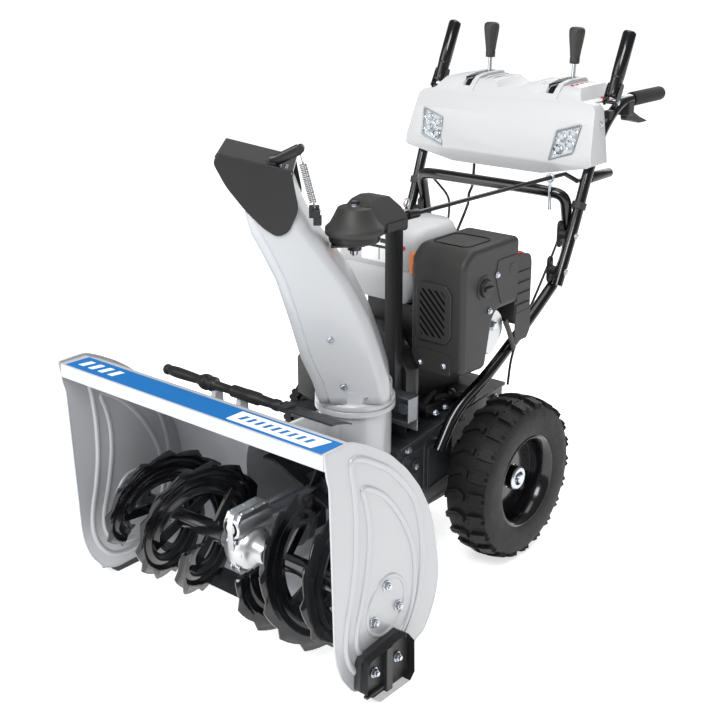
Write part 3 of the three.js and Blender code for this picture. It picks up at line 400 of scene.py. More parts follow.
NODE_FINISHES = {
    PAINT: ("side_plate_right", "side_plate_left", "impeller_drum", "chute"),
    INNER_PAINT: ("auger_housing",),
    ZINC: ("auger_bearing_right", "auger_bearing_left", "auger_shaft", "impeller_shaft", "mast_bracket",
           "crank_eyebolt", "crankshaft", "friction_disc", "hex_shaft"),
    SHOE_PLASTIC: ("skid_shoe_right", "skid_shoe_left"),
    DARK_STEEL: ("scraper_blade", "chassis", "impeller"),
    GLOSS_BLACK: ("auger_right", "auger_left", "rim_right", "rim_left", "lower_handle", "upper_handle_right",
                  "upper_handle_left", "clutch_lever_right", "clutch_lever_left", "shift_rod"),
    SATIN_BLACK: ("chute_drive", "deflector", "mast", "chute_crank", "belt_cover"),
    CASTING: ("gearbox_case", "muffler"),
    DARK_CASTING: ("engine_block",),
    CHARCOAL: ("gear_head_cover", "engine_cover", "rear_cover", "choke_knob", "speed_lever", "chute_lever"),
    BLACK_PLASTIC: ("cleanout_tool", "starter_grip", "trigger_right", "trigger_left", "control_cable_right",
                    "control_cable_left"),
    PALE: ("fuel_tank", "console"),
    AMBER: ("fuel_cap",),
    LENS: ("lamp_right", "lamp_left"),
    FOAM: ("grip_right", "grip_left"),
    BELT: ("drive_belt", "friction_wheel"),
    TYRE_RUBBER: ("tyre_right", "tyre_left"),
}


# ------------------------------------------------------------------ shapes


def facing(start: Vector, direction: Vector) -> Matrix:
    """Returns a frame whose Z axis points along a direction from a start."""
    return Matrix.Translation(start) @ AXES["z"].rotation_difference(direction).to_matrix().to_4x4()


def upright(heading: Vector) -> Quaternion:
    """Returns the turn of a frame whose Z axis is a heading and whose Y axis lies as near X as it can."""
    up = AXES["x"] if abs(heading.normalized().x) < 0.9 else AXES["z"]
    ahead = heading.normalized()
    side = up.cross(ahead).normalized()
    return Matrix((side, ahead.cross(side), ahead)).transposed().to_quaternion()


def arc(centre: Point, radius: float, start: float, end: float, steps: int) -> list[Vector]:
    """Returns the points of an arc in a plane, from one angle to another in degrees."""
    angles = [math.radians(start + (end - start) * step / steps) for step in range(steps + 1)]
    return [Vector((centre[0] + radius * math.cos(a), centre[1] + radius * math.sin(a))) for a in angles]


def rounded(points: Iterable[Point], bend: float, steps: int = 8, closed: bool = False) -> list[Vector]:
    """Rounds the corners of a line.

    Args:
        points: the corners, in two or three dimensions.
        bend: the distance from a corner at which its curve starts.
        steps: the number of chords in a curve.
        closed: whether the last point joins the first.

    Returns:
        The points of the rounded line.
    """
    corners = [Vector(point) for point in points]
    count = len(corners)
    line: list[Vector] = []
    for index, corner in enumerate(corners):
        if not closed and index in (0, count - 1):
            line.append(corner)
            continue
        before = corners[index - 1] - corner
        after = corners[(index + 1) % count] - corner
        reach = min(bend, before.length * 0.48, after.length * 0.48)
        first = corner + before.normalized() * reach
        last = corner + after.normalized() * reach
        for step in range(steps + 1):
            share = step / steps
            line.append(first * (1 - share) ** 2 + corner * 2 * share * (1 - share) + last * share ** 2)
    return line


def flowing(points: Iterable[Point], steps: int = 8) -> list[Vector]:
    """Returns a smooth closed line through some points, as a Catmull-Rom curve."""
    knots = [Vector(point) for point in points]
    count = len(knots)
    line = []
    for index in range(count):
        a, b, c, d = (knots[(index + offset) % count] for offset in (-1, 0, 1, 2))
        for step in range(steps):
            t = step / steps
            line.append(0.5 * ((2 * b) + (c - a) * t + (2 * a - 5 * b + 4 * c - d) * t ** 2
                               + (3 * b - a - 3 * c + d) * t ** 3))
    return line


def spread(point: Point, axis: str, along: float) -> Vector:
    """Returns a flat point (y, z), (x, z) or (x, y) at a height along the axis that it leaves out."""
    place = {"x": (along, point[0], point[1]), "y": (point[0], along, point[1]),
             "z": (point[0], point[1], along)}
    return Vector(place[axis])


class Form:
    """A mesh that is drawn in millimetres with bmesh operators and finished in the row's frame."""

    def __init__(self) -> None:
        """Starts empty."""
        self.mesh = bmesh.new()

    def _since(self, before: set[bmesh.types.BMVert]) -> list[bmesh.types.BMVert]:
        """Returns the vertices that aren't among those of an earlier moment."""
        return [vert for vert in self.mesh.verts if vert not in before]

    def block(self, low_corner: Point, high_corner: Point, turn: Optional[Matrix] = None) -> "Form":
        """Adds a box between two corners, placed by a matrix."""
        first, last = Vector(low_corner), Vector(high_corner)
        matrix = Matrix.Translation((first + last) / 2) @ Matrix.Diagonal((*(last - first), 1.0))
        bmesh.ops.create_cube(self.mesh, size=1.0, matrix=(turn or Matrix()) @ matrix)
        return self

    def rod(self, start: Point, end: Point, radius: float, end_radius: Optional[float] = None,
            sides: int = 32) -> "Form":
        """Adds a cylinder or cone between two points."""
        first, last = Vector(start), Vector(end)
        matrix = facing((first + last) / 2, last - first)
        top = radius if end_radius is None else end_radius
        bmesh.ops.create_cone(self.mesh, cap_ends=True, segments=sides, radius1=radius, radius2=top,
                              depth=(last - first).length, matrix=matrix)
        return self

    def ball(self, centre: Point, radius: float, sides: int = 24, scale: Point = (1, 1, 1)) -> "Form":
        """Adds a sphere, stretched along the axes."""
        matrix = Matrix.Translation(Vector(centre)) @ Matrix.Diagonal((*scale, 1.0))
        bmesh.ops.create_uvsphere(self.mesh, u_segments=sides, v_segments=sides // 2, radius=radius,
                                  matrix=matrix)
        return self

    def lathe(self, profile: Outline, origin: Point, axis: Point, sides: int = 64,
              closed: bool = False) -> "Form":
        """Adds a turned shape.

        Args:
            profile: points of radius and distance along the axis.
            origin: the point where that distance is 0.
            axis: the direction of the axis.
            sides: the number of steps in a turn.
            closed: whether the last point joins the first.

        Returns:
            The form.
        """
        before = set(self.mesh.verts)
        verts = [self.mesh.verts.new((radius, 0.0, along)) for radius, along in profile]
        pairs = list(zip(verts, verts[1:])) + ([(verts[-1], verts[0])] if closed else [])
        edges = [self.mesh.edges.new(pair) for pair in pairs]
        bmesh.ops.spin(self.mesh, geom=verts + edges, cent=(0, 0, 0), axis=(0, 0, 1), angle=2 * math.pi,
                       steps=sides, use_merge=True)
        bmesh.ops.remove_doubles(self.mesh, verts=self._since(before), dist=0.001)
        matrix = facing(Vector(origin), Vector(axis))
        bmesh.ops.transform(self.mesh, matrix=matrix, verts=self._since(before))
        return self

    def prism(self, outline: Outline, axis: str, start: float, end: float,
              turn: Optional[Matrix] = None) -> "Form":
        """Adds an outline drawn across an axis and extruded along it."""
        before = set(self.mesh.verts)
        face = self.mesh.faces.new([self.mesh.verts.new(spread(point, axis, start)) for point in outline])
        made = bmesh.ops.extrude_face_region(self.mesh, geom=[face])["geom"]
        top = [item for item in made if isinstance(item, bmesh.types.BMVert)]
        bmesh.ops.translate(self.mesh, vec=AXES[axis] * (end - start), verts=top)
        if turn:
            bmesh.ops.transform(self.mesh, matrix=turn, verts=self._since(before))
        return self

    def rim(self, outline: Outline, axis: str, start: float, end: float, width: float) -> "Form":
        """Adds a wall of some width inside an outline drawn across an axis, from a start to an end."""
        face = self.mesh.faces.new([self.mesh.verts.new(spread(point, axis, start)) for point in outline])
        wall = bmesh.ops.inset_region(self.mesh, faces=[face], thickness=width, use_boundary=True,
                                       use_even_offset=True)["faces"]
        bmesh.ops.delete(self.mesh, geom=[face], context="FACES_ONLY")
        made = bmesh.ops.extrude_face_region(self.mesh, geom=wall)["geom"]
        top = [item for item in made if isinstance(item, bmesh.types.BMVert)]
        bmesh.ops.translate(self.mesh, vec=AXES[axis] * (end - start), verts=top)
        return self

    def sweep(self, path: Iterable[Point], radius: float, sides: int = 20, closed: bool = False,
              squash: Point = (1.0, 1.0), radii: Optional[Callable[[float], float]] = None) -> "Form":
        """Adds a tube along a path.

        Args:
            path: the points of its centre line.
            radius: its radius.
            sides: the number of sides of its section.
            closed: whether the path joins itself.
            squash: the section's stretch in its own two directions.
            radii: the share of the radius at a share of the path.

        Returns:
            The form.
        """
        points = [Vector(point) for point in path]
        count = len(points)
        turn = upright(points[1] - points[0])
        heading = (points[1] - points[0]).normalized()
        rings: list[list[bmesh.types.BMEdge]] = []
        for index, point in enumerate(points):
            after = points[(index + 1) % count] if closed or index < count - 1 else point
            before = points[index - 1] if closed or index > 0 else point
            new_heading = (after - before).normalized()
            turn = heading.rotation_difference(new_heading) @ turn
            heading = new_heading
            share = radii(index / (count - 1)) if radii else 1.0
            matrix = Matrix.Translation(point) @ turn.to_matrix().to_4x4() @ Matrix.Diagonal(
                (squash[0] * share, squash[1] * share, 1.0, 1.0))
            ring = bmesh.ops.create_circle(self.mesh, segments=sides, radius=radius, matrix=matrix)["verts"]
            edges = list({edge for vert in ring for edge in vert.link_edges})
            if rings:
                bmesh.ops.bridge_loops(self.mesh, edges=rings[-1] + edges)
            rings.append(edges)
        if closed:
            bmesh.ops.bridge_loops(self.mesh, edges=rings[-1] + rings[0])
        else:
            bmesh.ops.edgeloop_fill(self.mesh, edges=rings[0])
            bmesh.ops.edgeloop_fill(self.mesh, edges=rings[-1])
        return self

    def loft(self, sections: Sequence[Iterable[Point]], caps: bool = True) -> "Form":
        """Adds a skin over closed sections that have the same number of points."""
        rings: list[list[bmesh.types.BMEdge]] = []
        for section in sections:
            verts = [self.mesh.verts.new(point) for point in section]
            edges = [self.mesh.edges.new(pair) for pair in zip(verts, verts[1:] + verts[:1])]
            if rings:
                bmesh.ops.bridge_loops(self.mesh, edges=rings[-1] + edges)
            rings.append(edges)
        if caps:
            bmesh.ops.edgeloop_fill(self.mesh, edges=rings[0])
            bmesh.ops.edgeloop_fill(self.mesh, edges=rings[-1])
        return self

    def bolt(self, point: Point, axis: Point, thread: float = 8.0, washer: bool = True,
             stud: bool = False) -> "Form":
        """Adds a hex head, with its washer and the end of a stud, that stands on a point."""
        base, way = Vector(point), Vector(axis).normalized()
        if washer:
            self.rod(base, base + way * 1.6, thread * 1.15, sides=28)
            base = base + way * 1.6
        height = thread * 0.65
        self.rod(base, base + way * height * 0.72, thread * 0.93, sides=6)
        self.rod(base + way * height * 0.72, base + way * height, thread * 0.93, thread * 0.74, sides=6)
        if stud:
            self.rod(base, base + way * thread * 1.05, thread * 0.5, sides=16)
        return self

    def turned(self, matrix: Matrix) -> "Form":
        """Moves everything drawn so far."""
        bmesh.ops.transform(self.mesh, matrix=matrix, verts=self.mesh.verts[:])
        return self

    def mirrored(self) -> "Form":
        """Turns everything drawn so far into its mirror image across the machine's middle."""
        return self.turned(Matrix.Scale(-1.0, 4, AXES["x"]))

    def finish(self, name: str, body: str, look: Finish, replaces: Sequence[str] = (), bevel: float = 0.0,
               segments: int = 2, limit: float = 38.0) -> bpy.types.Object:
        """Makes the object.

        Args:
            name: the piece's name.
            body: the CAD body that it rides on.
            look: its finish.
            replaces: the CAD nodes that it stands for.
            bevel: the width of its bevelled edges in millimetres.
            segments: the number of faces across a bevel.
            limit: the angle in degrees past which an edge is bevelled or sharp.

        Returns:
            The object.
        """
        bmesh.ops.recalc_face_normals(self.mesh, faces=self.mesh.faces[:])
        bmesh.ops.transform(self.mesh, matrix=TO_ROW, verts=self.mesh.verts[:])
        data = bpy.data.meshes.new(name)
        self.mesh.to_mesh(data)
        self.mesh.free()
        return dress(data, name, body, look, replaces, bevel, segments, limit)


def dress(data: bpy.types.Mesh, name: str, body: str, look: Finish, replaces: Sequence[str], bevel: float,
          segments: int, limit: float) -> bpy.types.Object:
    """Turns a mesh into a piece that rides on a body; the arguments are those of Form.finish."""
    piece = bpy.data.objects.new(name, data)
    bpy.context.scene.collection.objects.link(piece)
    data.materials.clear()
    data.materials.append(look.material())
    data.polygons.foreach_set("use_smooth", [True] * len(data.polygons))
    if bevel:
        rounding = piece.modifiers.new("Bevel", "BEVEL")
        rounding.width = bevel * MM
        rounding.segments = segments
        rounding.limit_method = "ANGLE"
        rounding.angle_limit = math.radians(limit)
        rounding.harden_normals = True
    else:
        data.set_sharp_from_angle(angle=math.radians(limit))
    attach(piece, body)
    if replaces:
        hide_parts(*replaces)
    LOG.info("%s rides on %s: %d faces", name, body, len(data.polygons))
    return piece


def body_of(node: str) -> str:
    """Returns the name of the body that a CAD node belongs to."""
    return frame["nodes"][node]["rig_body"]


def refine(node: str, look: Finish, bevel: float = 0.8, limit: float = 38.0,
           segments: int = 2) -> bpy.types.Object:
    """Replaces a CAD node by a copy of its own mesh with joined faces and rounded edges."""
    mesh = bmesh.new()
    mesh.from_mesh(frame["nodes"][node].data)
    bmesh.ops.remove_doubles(mesh, verts=mesh.verts[:], dist=0.00001)
    bmesh.ops.dissolve_limit(mesh, angle_limit=math.radians(0.6), verts=mesh.verts[:], edges=mesh.edges[:])
    data = bpy.data.meshes.new(node + "_skin")
    mesh.to_mesh(data)
    mesh.free()
    return dress(data, node + "_skin", body_of(node), look, (node,), bevel, segments, limit)


# ------------------------------------------------------------------ front of the machine


class Side(Enum):
    """The two sides of the machine."""

    RIGHT = 1
    LEFT = -1

    @property
    def word(self) -> str:
        """The side's name in the nodes' names."""
        return self.name.lower()

    def place(self, form: Form) -> Form:
        """Turns a form drawn for the right side into this side's."""
        return form if self is Side.RIGHT else form.mirrored()


@dataclass
class Housing:
    """The auger housing: pressed side plates, the rail's band, bearing bolts and skid shoes.

    Attributes:
        half_width: the distance from the middle to a plate's outer face.
        sheet: the thickness of a plate.
        ridge_height: how far a pressed ridge stands out.
        hub: the auger axis in (y, z).
        sweep_radius: the radius of the plate's rear edge about the hub.
        bearing_bolts: the places of the bearing's bolts in (y, z).
    """

    half_width: float = 362.0
    sheet: float = 3.0
    ridge_height: float = 4.6
    hub: tuple[float, float] = (163.0, 170.0)
    sweep_radius: float = 163.0
    bearing_bolts: tuple[tuple[float, float], ...] = ((164, 210), (198, 153), (127, 149))

    def plate_outline(self) -> list[Vector]:
        """Returns a side plate's edge in (y, z)."""
        crest = [(-3, 532), (64, 533), (98, 518), (140, 495), (175, 470), (223, 425), (263, 375), (289, 329),
                 (305, 290)]
        foot = [(253, 48), (224, 22), (105, 17), (69, 28), (37, 72), (24, 109), (19, 142)]
        front = [(14, 328), (10, 467), (4, 484), (-1, 523)]
        rear = arc(self.hub, self.sweep_radius, 9, -44, 14)
        return rounded([*crest, *rear, *foot, *front], 12.0, 3, closed=True)

    def side_plate(self, side: Side) -> None:
        """Builds one side plate with its ridges and rolled edge."""
        outer = [(69, 499), (149, 460), (199, 417), (245, 358), (267, 290), (273, 221), (262, 150),
                 (228, 88), (196, 56),
                 (150, 44), (96, 52), (62, 86), (48, 130), (52, 180), (66, 236), (76, 300), (78, 370),
                 (74, 430)]
        leaf = [(97, 434), (150, 403), (196, 350), (232, 288), (250, 227), (250, 165), (232, 116), (197, 78),
                (150, 68),
                (104, 82), (80, 118), (80, 160), (98, 222), (112, 290), (114, 350), (106, 396)]
        drop = [(127, 206), (113, 180), (110, 150), (124, 124), (152, 110), (186, 116), (214, 146),
                (221, 176),
                (208, 206), (180, 226), (152, 226)]
        form = Form()
        form.prism(self.plate_outline(), "x", self.half_width - self.sheet, self.half_width)
        middle = self.half_width - self.sheet / 2
        for loop, width, rise in ((outer, 7.0, 1.0), (leaf, 6.5, 0.95), (drop, 4.5, 0.6)):
            line = [spread(point, "x", middle) for point in flowing(loop, 6)]
            thickness = (self.ridge_height * rise + self.sheet / 2) / width
            form.sweep(line, width, 16, closed=True, squash=(1.0, thickness))
        edge = [spread(point, "x", self.half_width - 1.5) for point in self.plate_outline()]
        form.sweep(edge, 2.3, 10, closed=True)
        side.place(form).finish(f"side_plate_{side.word}_skin", "frame", PAINT, (f"side_plate_{side.word}",),
                                limit=50.0)

    def band(self) -> None:
        """Lays the blue band and its white panel on the rail."""
        top = high("auger_housing").z
        band = [(-344, 2.5), (349, 2.5), (349, 60), (-341, 60)]
        Form().prism(band, "z", top - 0.5, top + 0.5).finish("rail_band", "frame", BLUE, bevel=0.15)
        panel = [(112, 10), (318, 10), (330, 53), (112, 53)]
        Form().prism(rounded(panel, 2.0, 3, closed=True), "z", top + 0.3, top + 0.9).finish(
            "rail_panel", "frame", WHITE, bevel=0.1)
        marks = Form()
        for index in range(9):
            left = 130 + index * 20
            marks.prism([(left, 22), (left + 9, 22), (left + 14, 41), (left + 5, 41)], "z", top + 0.7,
                        top + 1.2)
        marks.finish("rail_panel_bars", "frame", BLUE)
        stripes = Form()
        for index in range(4):
            left = -322 + index * 30
            stripes.prism([(left, 18), (left + 15, 18), (left + 21, 46), (left + 6, 46)], "z", top + 0.3,
                          top + 0.9)
        stripes.finish("rail_stripes", "frame", WHITE)

    def bearing_fasteners(self, side: Side) -> None:
        """Adds the bearing's bolt heads outside the plate."""
        form = Form()
        for y, z in self.bearing_bolts:
            form.bolt((self.half_width, y, z), AXES["x"], 9.0, stud=True)
        side.place(form).finish(f"bearing_bolts_{side.word}", "frame", ZINC, bevel=0.3)

    def skid_shoe(self, side: Side) -> None:
        """Builds the moulded shoe with its two nut pockets."""
        outline = [(69, 34), (72, 92), (80, 101), (178, 111), (190, 108), (209, 84), (211, 14), (197, 0),
                   (108, 0)]
        shell = Form().prism(rounded(outline, 3.0, 3, closed=True), "x", self.half_width + 0.3, 378.0)
        shell.rim(outline, "x", 377.0, 395.8, 8.0)
        shell.block((376, 132, 6), (391, 150, 100))
        shell.block((376, 80, 14), (386, 132, 20))
        side.place(shell).finish(f"skid_shoe_{side.word}_skin", "frame", SHOE_PLASTIC,
                                 (f"skid_shoe_{side.word}",),
                                 bevel=1.6, limit=50.0)
        nuts = Form()
        for y in (108, 176):
            nuts.bolt((379.0, y, 58), AXES["x"], 9.0, stud=True)
        side.place(nuts).finish(f"skid_shoe_nuts_{side.word}", "frame", ZINC, bevel=0.3)

    def build(self) -> None:
        """Builds every piece of the housing."""
        for side in Side:
            self.side_plate(side)
            self.bearing_fasteners(side)
            self.skid_shoe(side)
        self.band()
        lip = Form().block((-356, -0.8, 500.5), (356, 0.3, 528.4))
        lip.finish("rail_lip", "frame", PAINT, bevel=0.4)
        rail_bolts = Form()
        for x in (-250, -80, 230):
            rail_bolts.bolt((x, 205, 436), (0, 0.62, 0.78), 6.0)
        rail_bolts.finish("barrel_bolts", "frame", ZINC, bevel=0.2)


@dataclass
class Augers:
    """The two halves of the serrated auger and the gearbox between them.

    Attributes:
        hub: the auger axis in (y, z).
        near: where a flight starts, from the middle.
        far: where it ends.
        inner: the inner radius of a flight.
        outer: the radius at the tips of its teeth.
        turns: the number of turns of a flight.
        teeth: the number of teeth on a flight.
    """

    hub: tuple[float, float] = (163.0, 170.0)
    near: float = 76.0
    far: float = 308.0
    inner: float = 74.0
    outer: float = 145.5
    turns: float = 1.12
    teeth: int = 15
    tooth_steps: int = 4
    tooth_depth: float = 15.0

    def flight(self, form: Form, phase: float) -> None:
        """Winds one serrated ribbon with two pressed ridges, as an open sheet."""
        profile = ((self.inner, 0), (self.inner + 8, 0), (self.inner + 13, 5), (self.inner + 20, 6),
                   (self.inner + 26, 1), (self.inner + 32, 0), (self.inner + 38, 4), (self.inner + 43, 4),
                   (self.inner + 48, 0), (self.outer, 0))
        centre = Vector((self.near, *self.hub))
        steps = self.teeth * self.tooth_steps
        pitch = (self.far - self.near) / steps
        start = Vector((0, math.cos(phase), math.sin(phase)))
        before = set(form.mesh.verts)
        verts = [form.mesh.verts.new(centre + AXES["x"] * lift + start * radius) for radius, lift in profile]
        edges = [form.mesh.edges.new(pair) for pair in zip(verts, verts[1:])]
        bmesh.ops.spin(form.mesh, geom=verts + edges, cent=centre, axis=AXES["x"], dvec=AXES["x"] * pitch,
                       angle=2 * math.pi * self.turns, steps=steps)
        for vert in form._since(before):
            self.shape_rim(vert, steps, pitch)

    def shape_rim(self, vert: bmesh.types.BMVert, steps: int, pitch: float) -> None:
        """Cuts the teeth and draws a flight's ends in towards the shaft."""
        centre = Vector((vert.co.x, *self.hub))
        out = vert.co - centre
        radius = out.length
        index = round((vert.co.x - self.near - 2.5) / pitch)
        if radius > self.outer - 1:
            index = round((vert.co.x - self.near) / pitch)
            radius -= self.tooth_depth * (index % self.tooth_steps) / self.tooth_steps
        taper = max(0.0, 1.0 - min(index, steps - index) / (self.tooth_steps * 2.0))
        radius -= taper ** 2 * (34.0 if radius > self.inner + 30 else 22.0)
        vert.co = centre + out.normalized() * radius

    def half(self, side: Side) -> None:
        """Builds one half: its two flights, the sleeve and the bars that carry the flights."""
        flights = Form()
        carrier = Form()
        for start in (0.0, math.pi):
            self.flight(flights, start)
            for share in (0.12, 0.5, 0.88):
                angle = start + 2 * math.pi * self.turns * share
                turn = Matrix.Translation((self.near + (self.far - self.near) * share, *self.hub))
                carrier.block((-4, 14, -11), (4, 96, 11), turn @ Matrix.Rotation(angle, 4, "X"))
        sleeve = ((12.8, 62), (20, 62), (20, 328), (12.8, 328))
        carrier.lathe(sleeve, (0, *self.hub), AXES["x"], 32, closed=True)
        for x in (84, 306):
            carrier.rod((x, self.hub[0], self.hub[1] - 26), (x, self.hub[0], self.hub[1] + 26), 4.5,
                        sides=12)
        side.place(flights)
        piece = flights.finish(f"auger_{side.word}_flights", "auger", GLOSS_BLACK, limit=48.0)
        wall = piece.modifiers.new("Solidify", "SOLIDIFY")
        wall.thickness = 4.5 * MM
        wall.offset = 0.0
        side.place(carrier).finish(f"auger_{side.word}_sleeve", "auger", GLOSS_BLACK,
                                   (f"auger_{side.word}",),
                                   bevel=1.0)

    def gearbox(self) -> None:
        """Builds the cast gearbox: the wheel housing, the worm barrel, the joint flange and its bolts."""
        worm = 225.0
        form = Form()
        hub = (0, *self.hub)
        form.lathe(((0, -58), (22, -58), (24, -55), (25, -40), (36, -31), (45, -22), (48, -8), (48, 8),
                    (45, 22),
                    (36, 31), (25, 40), (24, 55), (22, 58), (0, 58)), hub, AXES["x"], 56)
        form.lathe(((0, 116), (21, 116), (24, 119), (24, 124), (27, 128), (27, 205), (24, 213), (18, 214),
                    (0, 214)),
                   (0, 0, worm), AXES["y"], 40)
        form.lathe(((0, 114.6), (11, 114.6), (12, 116), (18, 116), (18, 119)), (0, 0, worm), AXES["y"], 40)
        form.block((-21, 132, 182), (21, 198, 226))
        flange = rounded([(120, 259), (208, 259), (214, 236), (212, 186), (206, 136), (178, 116), (148, 116),
                          (120, 138), (114, 188), (114, 240)], 16.0, 5, closed=True)
        form.prism(flange, "x", -7.5, 7.5)
        form.prism([(116, 236), (128, 255), (208, 257), (213, 236)], "x", -19, 19)
        for angle in range(30, 360, 60):
            turn = Matrix.Translation(hub) @ Matrix.Rotation(math.radians(angle), 4, "X")
            form.block((-24, -3, 20), (24, 3, 44), turn)
        form.finish("gearbox_casting", "frame", CASTING, ("gearbox_case",), limit=50.0)
        bolts = Form()
        for y, z in ((120, 196), (207, 196), (128, 134), (198, 132), (163, 120)):
            for way in (1, -1):
                bolts.bolt((7.5 * way, y, z), AXES["x"] * way, 6.5)
        for x in (-13, 13):
            for y in (136, 168, 200):
                bolts.bolt((x, y, 254.5), AXES["z"], 5.0, washer=False)
        bolts.finish("gearbox_bolts", "frame", ZINC, bevel=0.3)

    def build(self) -> None:
        """Builds both halves and the gearbox."""
        for side in Side:
            self.half(side)
        self.gearbox()


# ------------------------------------------------------------------ chute


@dataclass
class Chute:
    """The chute, its deflector and spring, and the gear head that turns it.

    A point of the chute is drawn facing forward, with X across it, -Y ahead and Z up, and then turned.

    Attributes:
        aim: the turn of the chute at rest, in degrees.
        half: half the width of the chute.
        deflector_half: half the width over the deflector's cheeks.
    """

    aim: float = -50.0
    half: float = 75.0
    deflector_half: float = 80.0
    stations: tuple[tuple[float, float, float, float], ...] = (
        (-74, 466, 70, 466), (-68, 516, 84, 512), (-49, 580, 106, 562), (-29, 639, 129, 646),
        (7, 713, 152, 722),
        (52, 778, 178, 778), (82, 818, 196, 812), (104, 865, 203, 836), (119, 908, 207, 857))

    def placed(self) -> Matrix:
        """Returns the turn that brings the chute to its place."""
        centre = pivot("chute_swivel")
        return Matrix.Translation((centre.x, centre.y, 0)) @ Matrix.Rotation(math.radians(self.aim), 4, "Z")

    def section(self, station: Point, inset: float) -> list[Vector]:
        """Returns a U of the chute's wall, whose open ends are turned out a little as a flange."""
        back, front = Vector((0, -station[0], station[1])), Vector((0, -station[2], station[3]))
        along = (front - back).normalized()
        length = (front - back).length
        corner = 26.0 - inset
        half = self.half - inset
        flat = [(length, half - 5.0), (length - 19.0, half - 5.0), (length - 23.0, half),
                *[(inset + corner + p.x, p.y + half - corner) for p in arc((0, 0), corner, 90, 180, 6)],
                *[(inset + corner + p.x, p.y - half + corner) for p in arc((0, 0), corner, 180, 270, 6)],
                (length - 23.0, -half), (length - 19.0, -half + 5.0), (length, -half + 5.0)]
        return [back + along * a + AXES["x"] * b for a, b in flat]

    def shell(self) -> None:
        """Builds the pressed chute and the ring that it turns on."""
        form = Form()
        rows = []
        for first, second in zip(self.stations, self.stations[1:]):
            for step in range(3):
                share = step / 3
                rows.append([a + (b - a) * share for a, b in zip(first, second)])
        rows.append(self.stations[-1])
        wires = [[form.mesh.verts.new(point) for point in self.section(row, 0.0)] for row in rows]
        chains = [[form.mesh.edges.new(pair) for pair in zip(wire, wire[1:])] for wire in wires]
        for lower, upper in zip(chains, chains[1:]):
            bmesh.ops.bridge_loops(form.mesh, edges=lower + upper)
        form.turned(self.placed())
        shell = form.finish("chute_shell", "chute", PAINT, ("chute",), limit=42.0)
        wall = shell.modifiers.new("Solidify", "SOLIDIFY")
        wall.thickness = 3.0 * MM
        wall.offset = -1.0
        ring = Form()
        ring.lathe(((72.5, 450.4), (81.5, 450.4), (82.5, 452), (82.5, 462), (81, 464), (77.5, 465),
                    (76.5, 468),
                    (76.5, 491), (72.5, 491)), (0, 0, 0), AXES["z"], 96, closed=True)
        ring.turned(self.placed()).finish("chute_ring", "chute", PAINT, bevel=0.6)
        bolts = Form()
        for side in (1, -1):
            for u, z, across in ((48, 603, 75), (22, 505, 76), (-22, 478, 70)):
                bolts.bolt((across * side, -u, z), AXES["x"] * side, 6.0)
        bolts.turned(self.placed()).finish("chute_bolts", "chute", ZINC, bevel=0.3)

    def deflector(self) -> None:
        """Builds the hood: two rounded cheeks under a glossy roof, and its lever."""
        cheek = rounded([(117, 936), (252, 970), (263, 952), (240, 906), (205, 860), (172, 826), (146, 809),
                         (124, 818), (104, 862)], 13.0, 5, closed=True)
        cheeks = Form()
        for side in (1, -1):
            outside, inside = self.deflector_half * side, (self.deflector_half - 3) * side
            cheeks.prism([(-u, z) for u, z in cheek], "x", min(outside, inside), max(outside, inside))
        cheeks.turned(self.placed()).finish("deflector_cheeks", "deflector", SATIN_BLACK, ("deflector",),
                                            bevel=0.5)
        roof = Form()
        line = [(114, 936), (253, 971), (259, 963), (257, 958), (250, 966), (113, 932)]
        roof.prism([(-u, z) for u, z in line], "x", -self.deflector_half - 0.6, self.deflector_half + 0.6)
        roof.turned(self.placed()).finish("deflector_roof", "deflector", GLOSS_BLACK, bevel=1.2)
        lever = Form()
        path = rounded([(58, -158, 950), (58, -146, 952), (58, -102, 973)], 9.0, 4)
        lever.sweep(path, 7.2, 14, squash=(1.5, 0.7))
        lever.rod((48, -100, 974), (70, -100, 974), 7.5, sides=24)
        lever.block((40, -170, 944), (72, -146, 949))
        lever.turned(self.placed()).finish("deflector_lever", "deflector", SATIN_BLACK, bevel=0.8)
        bolts = Form()
        for x, u in ((46, 128), (66, 128), (56, 140), (-46, 128), (-66, 128)):
            bolts.bolt((x, -u, 934 + (u - 114) * 0.25), (0, 0.25, 1), 4.0)
        bolts.turned(self.placed()).finish("deflector_bolts", "deflector", ZINC, bevel=0.2)

    def spring(self) -> None:
        """Winds the spring from the lever down to a knuckle on the chute's back."""
        top, bottom = Vector((58, -102, 968)), Vector((58, -76, 862))
        span = top - bottom
        way = span.normalized()
        frame_turn = facing(bottom, span)
        turns, radius, steps = 22, 6.5, 12
        start, end = span.length * 0.08, span.length * 0.78
        coil = []
        for step in range(turns * steps + 1):
            share = step / (turns * steps)
            angle = 2 * math.pi * turns * share
            coil.append(frame_turn @ Vector((radius * math.cos(angle), radius * math.sin(angle),
                                             start + (end - start) * share)))
        wire = [bottom, bottom + way * start * 0.6, *coil, bottom + way * (end + 4), top]
        form = Form().sweep(wire, 1.0, 6)
        form.rod(bottom + Vector((7.5, 2, 0)), bottom + Vector((7.5, 2, 0)) + way * (end + 6), 1.2, sides=8)
        form.turned(self.placed())
        spring = form.finish("deflector_spring", "chute", DULL_STEEL)
        spring.parent = None
        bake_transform(spring)
        knuckle = Form()
        knuckle.block((50, -78, 828), (66, -62, 846))
        knuckle.rod((46, -72, 852), (70, -72, 852), 8.0, sides=24)
        knuckle.block((52, -86, 842), (64, -66, 866))
        knuckle.turned(self.placed()).finish("spring_knuckle", "chute", SATIN_BLACK, bevel=1.2)

